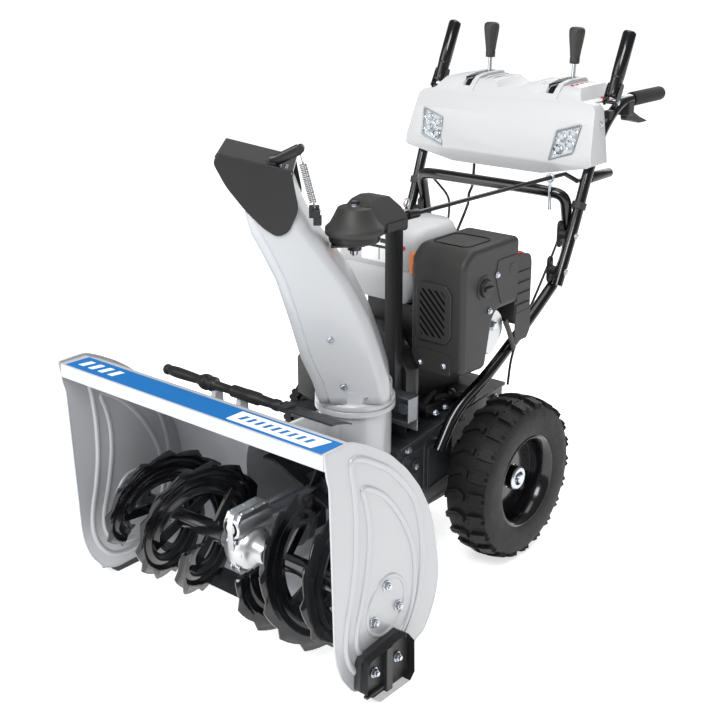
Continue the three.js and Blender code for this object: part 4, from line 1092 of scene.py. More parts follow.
    def gear_head(self) -> None:
        """Builds the dome, its sloping arm, the plate below and the pivot bolt with its spring."""
        centre = pivot("chute_swivel")
        middle = (centre.x, centre.y, 0)
        dome = Form()
        dome.lathe(((0, 796), (54, 796), (57, 797), (58.5, 800), (58.5, 809), (57, 812), (50, 818),
                    (42, 832),
                    (36, 844), (33.5, 849), (30, 851), (0, 851.5)), middle, AXES["z"], 96)
        arm = [(388, 796), (388, 850), (406, 861), (434, 866), (464, 863), (504, 834), (526, 808),
               (526, 784),
               (512, 782), (496, 796)]
        dome.prism(rounded(arm, 5.0, 3, closed=True), "x", 74, 124)
        dome.block((70, 456, 789), (128, 520, 806))
        dome.finish("gear_head_shell", "frame", CHARCOAL, ("gear_head_cover",), bevel=3.0, segments=3,
                    limit=30.0)
        plate = Form()
        plate.lathe(((0, 783), (46, 783), (51, 786), (51, 796), (0, 796)), middle, AXES["z"], 64)
        plate.block((84, 388, 785), (112, 524, 796))
        plate.finish("gear_head_plate", "frame", SATIN_BLACK, bevel=0.8)
        bolt = Form()
        bolt.bolt((*middle[:2], 851), AXES["z"], 9.0, stud=True)
        bolt.rod((*middle[:2], 752), (*middle[:2], 780), 4.5, sides=16)
        bolt.rod((*middle[:2], 756), (*middle[:2], 764), 9.0, sides=6)
        coil = [Vector((middle[0] + 9 * math.cos(a / 3), middle[1] + 9 * math.sin(a / 3), 764 + a * 0.2))
                for a in range(76)]
        bolt.sweep(coil, 1.2, 6)
        bolt.finish("pivot_bolt", "chute", ZINC, bevel=0.3)

    def build(self) -> None:
        """Builds every piece from the chute's ring to the gear head."""
        self.shell()
        self.deflector()
        self.spring()
        self.gear_head()


@dataclass
class Wheels:
    """The two tyres with their lugs, and the dished rims.

    Attributes:
        inner: the inner side of the tyre, from the machine's middle.
        outer: its outer side.
        radius: the radius over the lugs.
        lug: the height of a lug.
        lugs: the number of lugs round a tyre.
    """

    inner: float = 190.0
    outer: float = 300.0
    radius: float = 188.0
    lug: float = 9.0
    lugs: int = 22

    def carcass_radius(self, x: float) -> float:
        """Returns the radius of the casing under the tread."""
        middle = (self.inner + self.outer) / 2
        share = (x - middle) / (self.outer - middle)
        return self.radius - self.lug - 11.0 * share * share

    def block(self, form: Form, outline: Outline, cuts: Sequence[float], height: float) -> None:
        """Adds a tread block, drawn in (x, distance round) and wrapped on the casing, once for every lug."""
        hub = pivot("wheel_right_spin")
        before = set(form.mesh.verts)
        form.prism([(x, around) for x, around in outline], "z", -4.0, height)
        for cut in cuts:
            fresh = form._since(before)
            faces = {face for vert in fresh for face in vert.link_faces}
            edges = {edge for vert in fresh for edge in vert.link_edges}
            bmesh.ops.bisect_plane(form.mesh, geom=[*fresh, *edges, *faces], plane_co=(cut, 0, 0),
                                   plane_no=(1, 0, 0))
        fresh = form._since(before)
        for vert in fresh:
            angle = vert.co.y / self.radius
            reach = self.carcass_radius(vert.co.x) + vert.co.z
            vert.co = Vector((vert.co.x, hub.y - reach * math.sin(angle), hub.z + reach * math.cos(angle)))
        geom = [*fresh, *{edge for vert in fresh for edge in vert.link_edges},
                *{face for vert in fresh for face in vert.link_faces}]
        bmesh.ops.spin(form.mesh, geom=geom, cent=(0, hub.y, hub.z), axis=AXES["x"],
                       angle=2 * math.pi * (self.lugs - 1) / self.lugs, steps=self.lugs - 1,
                       use_duplicate=True)

    def tyre(self, side: Side) -> None:
        """Builds one tyre."""
        hub = pivot("wheel_right_spin")
        centre = (0, hub.y, hub.z)
        crown = [(self.carcass_radius(x), x) for x in range(196, 296, 9)]
        profile = [(102, 203), (104, 196), (112, 193), (126, 190.6), (146, 190), (158, 191), *crown,
                   (158, 299),
                   (146, 300), (126, 299.4), (112, 297), (104, 294), (102, 287), (99, 284), (99, 206)]
        form = Form()
        form.lathe(profile, centre, AXES["x"], 112, closed=True)
        form.lathe(((152, 190.5), (155, 189.4), (158, 190.8)), centre, AXES["x"], 96, closed=True)
        bar = [(196, 16), (213, 3), (232, -3), (250, 6), (250, 22), (238, 15), (222, 17), (206, 27),
               (196, 31)]
        wide = [(258, 0), (291, -2), (297, 6), (290, 12), (297, 20), (291, 27), (258, 25), (266, 18),
                (260, 12),
                (266, 6)]
        self.block(form, bar, (210, 224, 238), self.lug)
        self.block(form, wide, (272, 284), self.lug)
        inlay = [(203, 18), (215, 9), (230, 4), (240, 8), (232, 10), (218, 13), (206, 22)]
        self.block(form, inlay, (215, 228), self.lug + 0.9)
        side.place(form).finish(f"tyre_{side.word}_tread", f"wheel_{side.word}", TYRE_RUBBER,
                                (f"tyre_{side.word}",),
                                bevel=1.0, limit=34.0)

    def rim(self, side: Side) -> None:
        """Builds one rim: its flanges, the dished disc, the hub and its ring."""
        hub = pivot("wheel_right_spin")
        centre = (0, hub.y, hub.z)
        dish = [(99, 206), (101, 205), (104, 201), (106, 197), (103, 196), (98, 202), (94, 214), (92, 240),
                (60, 246), (34, 252), (34, 249), (62, 242), (88, 236), (90, 212), (86, 208)]
        front = [(92, 240), (94, 268), (98, 286), (103, 293), (107, 292.5), (107.5, 295), (103, 297),
                 (97, 293),
                 (90, 272), (87, 247), (60, 253), (44, 256), (30, 257), (30, 250), (60, 246)]
        form = Form()
        form.lathe(dish, centre, AXES["x"], 96, closed=True)
        form.lathe(front, centre, AXES["x"], 96, closed=True)
        form.lathe(((0, 20), (12.5, 20), (12.5, 214), (26, 214), (26, 268), (24, 270), (0, 270)), centre,
                   AXES["x"], 48)
        side.place(form).finish(f"rim_{side.word}_dish", f"wheel_{side.word}", GLOSS_BLACK,
                                (f"rim_{side.word}",),
                                bevel=0.6)
        metal = Form()
        metal.lathe(((16, 268), (27, 268), (27.5, 271), (24, 274), (16, 274)), centre, AXES["x"], 56,
                    closed=True)
        metal.lathe(((0, 262), (11, 262), (11, 278), (9.5, 280), (0, 280)), centre, AXES["x"], 32)
        metal.rod((274, hub.y - 16, hub.z), (274, hub.y + 16, hub.z), 2.2, sides=12)
        side.place(metal).finish(f"hub_{side.word}", f"wheel_{side.word}", ZINC, bevel=0.4)

    def build(self) -> None:
        """Builds both wheels."""
        for side in Side:
            self.tyre(side)
            self.rim(side)


# ------------------------------------------------------------------ engine and chassis


@dataclass
class Engine:
    """The engine's covers, tank, muffler and small parts.

    Attributes:
        left: the cover's left side.
        right: its right side.
        front: its front.
        rear: its rear.
        bottom: its lowest level.
        top: its highest level.
    """

    left: float = 92.0
    right: float = 230.0
    front: float = 578.0
    rear: float = 786.0
    bottom: float = 462.0
    top: float = 738.0

    def cover(self) -> None:
        """Builds the main cover with its cut-out corner, top recess and plates."""
        side = rounded([(self.front, self.bottom + 8), (self.front, self.top - 26),
                        (self.front + 30, self.top),
                        (self.rear, self.top), (self.rear, 588), (706, 588), (690, 570),
                        (668, self.bottom + 4)],
                       16.0, 6, closed=True)
        form = Form().prism(side, "x", self.left, self.right)
        form.finish("engine_cover_shell", "frame", CHARCOAL, ("engine_cover",), bevel=13.0, segments=5,
                    limit=60.0)
        trim = Form()
        recess = rounded([(112, 622), (206, 622), (206, 716), (112, 716)], 18.0, 6, closed=True)
        trim.rim(recess, "z", self.top - 2.0, self.top + 1.8, 3.0)
        plate = rounded([(104, 466), (200, 466), (200, 506), (186, 514), (118, 514), (104, 500)], 6.0, 3,
                        closed=True)
        trim.prism(plate, "y", self.front - 2.4, self.front + 2)
        panel = rounded([(700, 700), (778, 700), (778, 600), (716, 600), (694, 660)], 8.0, 3, closed=True)
        trim.prism(panel, "x", self.right - 2, self.right + 1.8)
        trim.rod((self.right - 2, 653, 650), (self.right + 2.2, 653, 650), 27, sides=48)
        trim.rod((self.right + 1, 757, 672), (self.right + 2.6, 757, 672), 13, sides=32)
        trim.finish("engine_cover_trim", "frame", CHARCOAL, bevel=0.9)
        screws = Form()
        for y, z in ((697, 669), (673, 595)):
            screws.bolt((self.right + 1, y, z), AXES["x"], 6.0)
        for x, z in ((122, 482), (184, 486)):
            screws.bolt((x, self.front - 2.4, z), (0, -1, 0), 6.0)
        screws.finish("engine_cover_screws", "frame", ZINC, bevel=0.3)

    def louvre(self) -> None:
        """Builds the octagonal louvre panel and black strips on its face that are painted shade for its
        slanted slits.
        """
        level = self.front
        outline = [(118, 663), (188, 663), (202, 645), (202, 553), (188, 535), (118, 535), (110, 548),
                   (110, 650)]
        inner = [(128, 650), (178, 650), (187, 640), (187, 558), (178, 548), (128, 548), (122, 556),
                 (122, 642)]
        panel = Form().prism(outline, "y", level - 6.0, level + 2.0)
        panel.finish("louvre_frame", "frame", CHARCOAL, bevel=3.2, segments=2)
        # The slits aren't cut: thin black strips on the panel's face paint the shade inside them, clipped to
        # the inner octagon below.
        bars = Form()
        for index in range(-6, 7):
            shift = index * 17.0
            bars.prism([(100, 640 + shift), (212, 528 + shift), (212, 534.5 + shift), (100, 646.5 + shift)],
                       "y",
                       level - 6.3, level - 5.0)
        for first, second in zip(inner, inner[1:] + inner[:1]):
            edge = Vector((second[0] - first[0], 0, second[1] - first[1]))
            outward = Vector((-edge.z, 0, edge.x))
            if outward.dot(Vector((first[0] - 155, 0, first[1] - 599))) < 0:
                outward.negate()
            geom = [*bars.mesh.verts, *bars.mesh.edges, *bars.mesh.faces]
            cut = bmesh.ops.bisect_plane(bars.mesh, geom=geom, plane_co=(first[0], 0, first[1]),
                                         plane_no=outward,
                                         clear_outer=True)["geom_cut"]
            bmesh.ops.holes_fill(bars.mesh, edges=[item for item in cut if isinstance(item,
                                                                                      bmesh.types.BMEdge)])
        # The black strips are painted shade for the slits.
        bars.finish("louvre_slits", "frame", PAINTED_SHADE_BLACK)

    def rear_cover(self) -> None:
        """Builds the ribbed rear cover."""
        side = rounded([(786.5, 532), (786.5, 692), (842, 686), (850, 668), (850, 552), (832, 532)], 12.0, 4,
                       closed=True)
        form = Form().prism(side, "x", 118, 221)
        skirt = [(789, 491), (838, 491), (850, 508), (850, 560), (789, 560)]
        form.prism(skirt, "x", 220.3, 223)
        for level in (560, 585, 610, 635):
            form.block((150, 790, level), (223.5, 846, level + 17))
        form.finish("rear_cover_shell", "frame", CHARCOAL, ("rear_cover",), bevel=4.0, segments=3,
                    limit=60.0)
        Form().block((196, 800, 687), (216, 822, 692.5)).finish("rear_cover_mark", "frame", RED, bevel=1.0)

    def choke(self) -> None:
        """Builds the choke knob."""
        knob = pivot("choke_turn")
        form = Form()
        form.lathe(((0, 208), (5, 208), (5, 230), (18, 230.6), (20, 232), (19.5, 238), (17, 240), (0, 240)),
                   (0, knob.y, knob.z), AXES["x"], 48)
        form.block((238, knob.y - 15, knob.z - 4), (245.5, knob.y + 15, knob.z + 4))
        form.finish("choke_knob_cap", "choke_knob", BLACK_PLASTIC, ("choke_knob",), bevel=1.2)

    def tank(self) -> None:
        """Builds the tank with its crease, its blank label and its amber cap."""
        levels = ((592, -72, 60, 606, 14), (606, -86, 70, 603, 20), (640, -116, 84, 600, 26),
                  (662, -130, 88, 599, 28),
                  (666, -132, 88, 602, 28), (670, -137, 88, 599, 30), (704, -138, 88, 600, 32),
                  (730, -131, 85, 606, 34), (746, -117, 76, 618, 36), (754, -96, 60, 640, 34))
        sections = []
        for z, left, right, front, corner in levels:
            outline = rounded([(left, front), (right, front), (right, 772), (left, 772)], corner, 6,
                              closed=True)
            sections.append([spread(point, "z", z) for point in outline])
        Form().loft(sections).finish("tank_shell", "frame", PALE, ("fuel_tank",), limit=65.0)
        label = Form()
        label.prism(rounded([(-62, 676), (40, 676), (40, 738), (-62, 738)], 3.0, 3, closed=True), "y", 599.2,
                    603)
        label.finish("tank_label", "frame", WHITE, bevel=0.2)
        lines = Form()
        lines.rim([(-60, 678), (38, 678), (38, 736), (-60, 736)], "y", 599.4, 598.8, 1.6)
        lines.block((-56, 598.8, 708), (34, 599.4, 714))
        lines.block((-12, 598.8, 682), (-10, 599.4, 708))
        for index in range(4):
            lines.block((-52 + index * 22, 598.8, 720), (-38 + index * 22, 599.4, 730))
        lines.finish("tank_label_lines", "frame", BLACK_PLASTIC)
        Form().rod((52, 598.8, 716), (52, 603, 716), 5, sides=24).finish("tank_mark", "frame", RED)
        cap = pivot("fuel_cap_turn")
        form = Form()
        form.lathe(((0, 756.3), (31, 756.3), (32, 758), (32, 769), (30, 772), (20, 773), (0, 773)),
                   (cap.x, cap.y, 0), AXES["z"], 48)
        for angle in range(0, 360, 20):
            turn = Matrix.Translation((cap.x, cap.y, 0)) @ Matrix.Rotation(math.radians(angle), 4, "Z")
            form.block((30, -2.4, 758), (33.5, 2.4, 770), turn)
        form.block((cap.x - 26, cap.y - 4, 772), (cap.x + 26, cap.y + 4, 778.3))
        form.finish("fuel_cap_top", "fuel_cap", AMBER, ("fuel_cap",), bevel=1.0)
        tab = Form().block((78, 590, 676), (91, 612, 712)).block((84, 586, 668), (91, 600, 690))
        tab.finish("fuel_tap", "frame", AMBER, bevel=2.0)

    def muffler(self) -> None:
        """Builds the bright muffler guard, its bolt and the strap beside it."""
        form = Form()
        form.lathe(((0, 100), (40, 100), (44, 104), (44, 200), (41, 205), (32, 208), (28, 206), (0, 206)),
                   (0, 724, 536), AXES["x"], 56)
        guard = rounded([(692, 584), (728, 584), (752, 560), (744, 512), (716, 484), (694, 486), (690, 510)],
                        14.0, 5,
                        closed=True)
        form.prism(guard, "x", 206, 213)
        form.block((96, 704, 512), (110, 744, 560))
        form.finish("muffler_guard", "frame", CASTING, ("muffler",), bevel=2.2, segments=3, limit=45.0)
        Form().bolt((213, 714, 548), AXES["x"], 11.0).finish("muffler_bolt", "frame", ZINC, bevel=0.3)
        strap = Form().sweep([(220, 751, 552), (221, 762, 534), (221, 780, 500), (220, 792, 474)], 4.5, 12,
                             squash=(1.8, 0.6))
        strap.finish("exhaust_strap", "frame", BLACK_PLASTIC)

    def build(self) -> None:
        """Builds every piece of the engine."""
        self.cover()
        self.louvre()
        self.rear_cover()
        self.choke()
        self.tank()
        self.muffler()
        guide = Form()
        loop = [Vector((-8, 690 + 9 * math.cos(math.radians(a)), 792 + 9 * math.sin(math.radians(a))))
                for a in range(-60, 250, 15)]
        guide.sweep(rounded([(-8, 700, 726), (-8, 700, 772)], 1.0, 2) + loop, 2.2, 10)
        guide.finish("wire_guide", "frame", ZINC)


@dataclass
class Chassis:
    """The embossed panels, the tray's hardware, the clearing tool, the mast's bracket and the neck's collar.

    Attributes:
        half: half the chassis' width.
    """

    half: float = 150.0

    def panels(self) -> None:
        """Adds the pressed frames and bolts on the chassis' sides."""
        frames = Form()
        bolts = Form()
        for side in (1, -1):
            for y0, y1 in ((484, 560), (575, 660)):
                outline = rounded([(y0, 190), (y1, 200), (y1, 304), (y0, 292)], 8.0, 4, closed=True)
                line = [spread(point, "x", self.half * side) for point in outline]
                frames.sweep(line, 3.6, 10, closed=True, squash=(1.0, 0.5))
            for y, z in ((528, 262), (612, 296), (700, 320), (830, 330), (500, 310)):
                bolts.bolt((self.half * side, y, z), AXES["x"] * side, 8.0, stud=True)
            frames.rod((self.half * side, 528, 262), ((self.half + 2) * side, 528, 262), 17, sides=40)
        frames.finish("chassis_pressings", "frame", DARK_STEEL, limit=50.0)
        bolts.finish("chassis_bolts", "frame", ZINC, bevel=0.3)

    def tray(self) -> None:
        """Adds the linkage, blocks and bolts on top of the tray."""
        top = high("chassis").z
        parts = Form()
        parts.block((106, 600, top - 20), (124, 690, top + 6))
        parts.rod((96, 590, top + 10), (140, 590, top + 10), 10, sides=24)
        parts.rod((118, 590, top + 10), (118, 636, top + 34), 6, sides=20)
        parts.rod((112, 640, top + 16), (150, 700, top + 16), 7, sides=20)
        parts.block((90, 716, top - 10), (146, 760, top + 12))
        parts.rod((100, 560, top + 6), (100, 560, top + 60), 5, sides=16)
        parts.ball((134, 676, top + 22), 11)
        parts.finish("tray_linkage", "frame", SATIN_BLACK, bevel=1.5)
        bolts = Form()
        for x, y in ((140, 610), (136, 652), (112, 735), (130, 742), (90, 640), (-120, 620), (-120, 730)):
            bolts.bolt((x, y, top - 6 if x > 0 else top), AXES["z"], 8.0, stud=True)
        bolts.finish("tray_bolts", "frame", ZINC, bevel=0.3)

    def tool(self) -> None:
        """Builds the clearing tool: a ribbed grip, collars, sleeve and a shovel blade."""
        y, z = 200.0, 482.0
        form = Form()
        form.lathe(((0, -267), (9, -267), (11.5, -263), (11.5, -257), (8.5, -254), (8.5, -251), (11, -248),
                    (12, -230), (11, -190), (10, -166), (12, -158), (16, -150), (17, -146), (17, -138),
                    (13, -134),
                    (13, -128), (16, -126), (16, -118), (12, -114), (9.5, -108), (9, -70), (11, -66),
                    (13, -64),
                    (13, -24), (13.5, -22), (13.5, 8), (11, 12), (10, 46), (12, 52), (12, 62), (8, 70),
                    (0, 72)),
                   (0, y, z), AXES["x"], 40)
        form.block((-60, y - 15.5, z - 4), (6, y + 15.5, z + 4))
        form.finish("tool_handle", "cleanout_tool", BLACK_PLASTIC, ("cleanout_tool",), bevel=0.6)
        blade = [(y - 9, z + 2), (y + 12, z), (y + 34, z - 7), (y + 51, z - 15), (y + 52, z - 18),
                 (y + 33, z - 11), (y + 10, z - 5), (y - 9, z - 3)]
        shovel = Form().prism(blade, "x", 66, 207)
        shovel.block((64, y - 10, z - 7), (90, y + 20, z + 6))
        shovel.finish("tool_blade", "cleanout_tool", DARK_STEEL, bevel=1.2)

    def build(self) -> None:
        """Builds every piece of the chassis."""
        self.panels()
        self.tray()
        self.tool()
        bracket = Form()
        for z in (386.5, 439.5):
            bracket.block((104, 470, z - 1.5), (174, 503, z + 1.5))
        bracket.block((104, 500, 360), (174, 503.4, 441))
        bracket.block((171, 470, 385), (174, 503, 441))
        bracket.lathe(((0, 484), (13, 484), (13, 488), (9, 490), (9, 500), (0, 500)), (148, 0, 408),
                      AXES["y"], 32)
        bracket.finish("mast_bracket_skin", "frame", DULL_STEEL, ("mast_bracket",), bevel=0.8)
        collar = Form()
        collar.lathe(((72.4, 437), (81, 437), (83, 438.5), (83, 447.5), (82, 449.6), (72.4, 449.6)),
                     (98, 388, 0), AXES["z"], 96, closed=True)
        collar.finish("neck_collar", "frame", PAINT, bevel=0.5)


# ------------------------------------------------------------------ handlebars and controls


@dataclass
class Handlebars:
    """The tubes, grips, clutch levers, triggers and wing knobs.

    Attributes:
        tube: the radius of the lower tubes.
        lower_x: the distance of a lower leg from the middle.
        upper_x: the distance of an upper tube from the middle.
        grip_x: the distance of a grip from the middle.
        grip_z: the grips' height.
    """

    tube: float = 13.0
    lower_x: float = 205.0
    upper_x: float = 232.0
    grip_x: float = 243.0
    grip_z: float = 982.0

    def lower(self) -> None:
        """Bends the lower handle, from foot to foot over the crossbar, in one tube."""
        x = self.lower_x
        leg = [(173, 580, 286), (173, 640, 366), (x - 3, 712, 428), (x, 868, 517), (x, 992, 594),
               (x, 1034, 660),
               (x, 1004, 786), (x - 50, 990, 792)]
        path = leg + [(-a, b, c) for a, b, c in reversed(leg)]
        Form().sweep(rounded(path, 52.0, 9), self.tube, 28).finish(
            "lower_handle_tube", "frame", GLOSS_BLACK, ("lower_handle",), limit=60.0)

    def upper(self, side: Side) -> None:
        """Bends one upper tube and adds its clamp, lug and bolts."""
        x, grip_x, grip_z = self.upper_x, self.grip_x, self.grip_z
        path = [(x, 944, 590), (x, 1004, 712), (x + 2, 1050, 836), (grip_x - 3, 1092, 928),
                (grip_x, 1160, grip_z),
                (grip_x, 1348, grip_z)]
        form = Form().sweep(rounded(path, 48.0, 9), self.tube - 0.5, 28)
        form.rod((grip_x - 18, 1118, 985), (grip_x + 18, 1118, 985), 4.0, sides=20)
        side.place(form).finish(f"upper_handle_{side.word}_tube", "frame", GLOSS_BLACK,
                                (f"upper_handle_{side.word}",), limit=60.0)
        clamp = Form()
        clamp.block((grip_x - 15, 1180, grip_z - 34), (grip_x + 15, 1206, grip_z - 2))
        clamp.block((grip_x - 9, 1102, 946), (grip_x + 9, 1124, 968))
        clamp.rod((grip_x - 12, 1190, 958), (grip_x + 12, 1190, 958), 9, sides=24)
        side.place(clamp).finish(f"trigger_clamp_{side.word}", "frame", BLACK_PLASTIC, bevel=3.0, segments=3)
        bolts = Form()
        for y, z in ((997, 696), (960, 620)):
            bolts.bolt((x + 11, y, z), AXES["x"], 7.0)
        bolts.bolt((grip_x + 18, 1118, 985), AXES["x"], 6.0, washer=False)
        side.place(bolts).finish(f"handle_bolts_{side.word}", "frame", ZINC, bevel=0.3)
        knobs = Form()
        for y, z in ((997, 696), (960, 620)):
            knobs.rod((x - 12, y, z), (x - 30, y, z), 9, 12, 24)
            knobs.block((x - 36, y - 7, z - 24), (x - 26, y + 7, z + 24))
            knobs.ball((x - 31, y, z + 22), 9, 16, (0.7, 1, 1.1))
            knobs.ball((x - 31, y, z - 22), 9, 16, (0.7, 1, 1.1))
        side.place(knobs).finish(f"wing_knobs_{side.word}", "frame", BLACK_PLASTIC, bevel=1.5)

    def grip(self, side: Side) -> None:
        """Builds one foam grip with a rounded end."""
        form = Form()
        form.lathe(((12.8, 1216), (15.4, 1216), (16.4, 1218), (16.4, 1352), (15.4, 1357), (12.6, 1360.6),
                    (8, 1362),
                    (0, 1362), (0, 1350), (12.8, 1350)), (self.grip_x, 0, self.grip_z), AXES["y"], 40,
                    closed=True)
        side.place(form).finish(f"grip_{side.word}_foam", "frame", FOAM, (f"grip_{side.word}",), bevel=0.4)

    def clutch(self, side: Side) -> None:
        """Builds one clutch lever: a fork at the handle under a thick sleeved bar."""
        fulcrum = Vector((self.grip_x, 1118, 985))
        way = Vector((0, 0.413, 0.911))
        form = Form()
        form.lathe(((0, 10), (9, 10.5), (13.6, 14), (14.4, 18), (14.6, 60), (15.6, 62), (15.6, 160),
                    (13.8, 164.5),
                    (8, 167.5), (0, 168)),
                   fulcrum, way, 36)
        for offset in (14.6, -17.6):
            cheek = [(1109, 987), (1116, 977), (1126, 979), (1145, 1022), (1131, 1028)]
            form.prism(rounded(cheek, 4.0, 4, closed=True), "x", self.grip_x + offset,
                       self.grip_x + offset + 3)
        form.rod(fulcrum + way * 38 - AXES["x"] * 16, fulcrum + way * 38 + AXES["x"] * 16, 6.0, sides=20)
        side.place(form).finish(f"clutch_lever_{side.word}_bar", f"clutch_lever_{side.word}", GLOSS_BLACK,
                                (f"clutch_lever_{side.word}",), bevel=0.8, limit=45.0)
        seam = Form()
        seam.lathe(((14.2, 55), (15.2, 56), (15.2, 58), (14.2, 59)), fulcrum, way, 36, closed=True)
        side.place(seam).finish(f"clutch_sleeve_seam_{side.word}", f"clutch_lever_{side.word}", SATIN_BLACK)

    def trigger(self, side: Side) -> None:
        """Builds one curved trigger under a grip."""
        y, z = 1190.0, 958.0
        outline = [(y - 8, z - 8), (y + 6, z + 2), (y + 26, z - 4), (y + 60, z - 20), (y + 90, z - 30),
                   (y + 97, z - 34), (y + 56, z - 34), (y + 18, z - 24), (y - 4, z - 22)]
        form = Form().prism(rounded(outline, 8.0, 4, closed=True), "x", self.grip_x - 8, self.grip_x + 8)
        side.place(form).finish(f"trigger_{side.word}_blade", f"trigger_{side.word}", BLACK_PLASTIC,
                                (f"trigger_{side.word}",), bevel=2.4, segments=3)

    def cable(self, side: Side) -> None:
        """Routes one control cable from the handlebar to the rear of the chassis."""
        route = [(214, 1046, 778), (196, 1062, 752), (168, 1076, 716), (158, 1056, 650), (156, 990, 560),
                 (158, 930, 492), (158, 880, 420), (158, 870, 352)]
        form = Form().sweep(rounded(route, 40.0, 8), 3.0, 12)
        side.place(form).finish(f"cable_{side.word}", "frame", BLACK_PLASTIC,
                                (f"control_cable_{side.word}",))
        clip = Form().lathe(((13, -8), (17, -8), (17, 8), (13, 8)), (232, 1022, 762), (0.05, 0.35, 0.94), 32,
                            closed=True)
        side.place(clip).finish(f"cable_clip_{side.word}", "frame", CHARCOAL, bevel=1.0)

    def build(self) -> None:
        """Builds every piece of the handlebars."""
        self.lower()
        for side in Side:
            self.upper(side)
            self.grip(side)
            self.clutch(side)
            self.trigger(side)
            self.cable(side)


@dataclass
class Console:
    """The console with its slot islands, lamps, bolts and two levers.

    Attributes:
        lever_x: the distance of a lever from the middle.
        lever_y: the levers' axis.
        lever_z: the axis' height.
    """

    lever_x: float = 116.0
    lever_y: float = 1153.0
    lever_z: float = 880.0

    def islands(self) -> None:
        """Adds the raised frames round the slots, black sheets on the slots' walls as painted shade, the
        steps beside them and the small marks.
        """
        frames = Form()
        # Thin black sheets that paint the shade inside the slots.
        dark = Form()
        for side in (1, -1):
            x = self.lever_x * side
            wall = [(1050, 982), (1056, 996), (1068, 1011), (1084, 1022), (1118, 1027), (1180, 1028),
                    (1200, 1008),
                    (1200, 1000), (1060, 985)]
            for inner in (x - 24, x + 10.5):
                frames.prism(wall, "x", inner, inner + 13.5)
            frames.prism([(1049, 978), (1054, 993), (1059, 1000), (1061, 1001), (1061, 982)], "x", x - 23.8,
                         x + 23.8)
            frames.prism([(1186, 1010), (1186, 1027), (1202, 1008), (1202, 1000)], "x", x - 24, x + 24)
            # Black sheets on the slots' inner walls: painted shade inside the slots.
            for face in (x - 10.7, x + 9.2):
                dark.block((face, 1074, 990), (face + 1.5, 1186, 1020))
        for x, reach in ((82, 8), (70, 5), (-82, 8), (-70, 5)):
            rise = 1018 + reach * 0.5
            frames.prism([(1064, 1000), (1084, rise - 5), (1110, rise), (1184, rise), (1196, 1008)], "x",
                         x - 4, x + 4)
        frames.finish("console_islands", "frame", PALE, bevel=2.4, segments=3)
        # The black sheets are painted shade in the slots.
        dark.finish("console_slot_edges", "frame", BLACK_PLASTIC)
        marks = Form()
        for index in range(4):
            marks.block((152, 1090 + index * 22, 1017), (158, 1098 + index * 22, 1019.4))
        marks.block((204, 1140, 988), (222, 1156, 993))
        marks.finish("console_marks", "frame", RED, bevel=0.8)

    def bolts(self) -> None:
        """Adds the bolts at the console's ends."""
        form = Form()
        for side in (1, -1):
            for y, z in ((1066, 942), (1060, 896)):
                form.bolt((250 * side, y, z), AXES["x"] * side, 6.5)
        form.finish("console_bolts", "frame", ZINC, bevel=0.3)

    def lamp(self, side: Side) -> None:
        """Builds one lamp: a reflector tray, four diodes in cups and the window."""
        corners = [(151, 859), (161, 924), (220, 942), (212, 881)]
        lean = 0.31

        def on_face(x: float, z: float, push: float) -> Vector:
            """Returns a point of the console's sloping face, pushed in."""
            return Vector((x, 1013 + max(0.0, (z - 880) * lean) + push, z))

        tray = Form()
        tray.loft([[on_face(x, z, push) for x, z in corners] for push in (3.5, 6.0)])
        edge = [on_face(x, z, -1.0) for x, z in corners]
        tray.sweep(rounded(edge, 3.0, 3, closed=True), 2.0, 10, closed=True)
        side.place(tray).finish(f"lamp_{side.word}_tray", "frame", REFLECTOR, bevel=0.3)
        cups = Form()
        diodes = Form()
        for x, z in ((171, 884), (199, 896), (174, 911), (203, 922)):
            centre = on_face(x, z, 3.4)
            outward = Vector((0, -1, lean)).normalized()
            cups.lathe(((11.4, 0), (11.6, 2.6), (10.6, 3.0), (7.0, 0.8), (6.6, 0.2)), centre, outward, 32)
            diodes.ball(centre + outward * 0.4, 6.2, 20, (1, 0.5, 1))
        side.place(cups).finish(f"lamp_{side.word}_cups", "frame", CHROME)
        side.place(diodes).finish(f"lamp_{side.word}_diodes", "frame", DIODE)
        window = Form().loft([[on_face(x, z, push) for x, z in corners] for push in (-1.2, 0.2)])
        side.place(window).finish(f"lamp_{side.word}_window", "frame", LENS, (f"lamp_{side.word}",))

    def lever(self, side: Side, body: str) -> None:
        """Builds one lever: a bright stem under a dark fluted knob."""
        x, y, z = self.lever_x, self.lever_y, self.lever_z
        foot, tip = Vector((x, y, z)), Vector((x + 3, y + 12.4, z + 262))
        way = tip - foot
        stem = Form().rod(foot, foot + way * 0.72, 5.0, sides=20)
        stem.rod((x - 7, y, z), (x + 7, y, z), 14, sides=32)
        side.place(stem).finish(f"{body}_stem", body, CHROME, bevel=0.8)
        knob = Form()
        knob.lathe(((0, 179), (10.4, 179), (11.6, 181), (11.8, 192), (11.2, 194), (12.2, 198), (13.8, 212),
                    (16.2, 228),
                    (18.2, 244), (18.6, 252), (17.4, 258), (13, 261.4), (6, 262.4), (0, 262.6)), foot, way,
                    48)
        for vert in knob.mesh.verts:
            along = (vert.co - foot).dot(way.normalized())
            centre = foot + way.normalized() * along
            out = vert.co - centre
            if 195 < along < 257 and out.length > 1:
                angle = math.atan2(out.y, out.x)
                vert.co = centre + out * (1.0 - 0.05 * max(0.0, math.cos(8 * angle)))
        side.place(knob).finish(f"{body}_knob", body, CHARCOAL, (body,), limit=50.0)

    def build(self) -> None:
        """Builds every piece of the console."""
        self.islands()
        self.bolts()
        for side in Side:
            self.lamp(side)
        self.lever(Side.RIGHT, "chute_lever")
        self.lever(Side.LEFT, "speed_lever")


ASSEMBLIES: tuple[type, ...] = (Housing, Augers, Chute, Wheels, Engine, Chassis, Handlebars, Console)
UNBEVELLED = {"auger_housing", "impeller_drum"}


# ------------------------------------------------------------------ stage


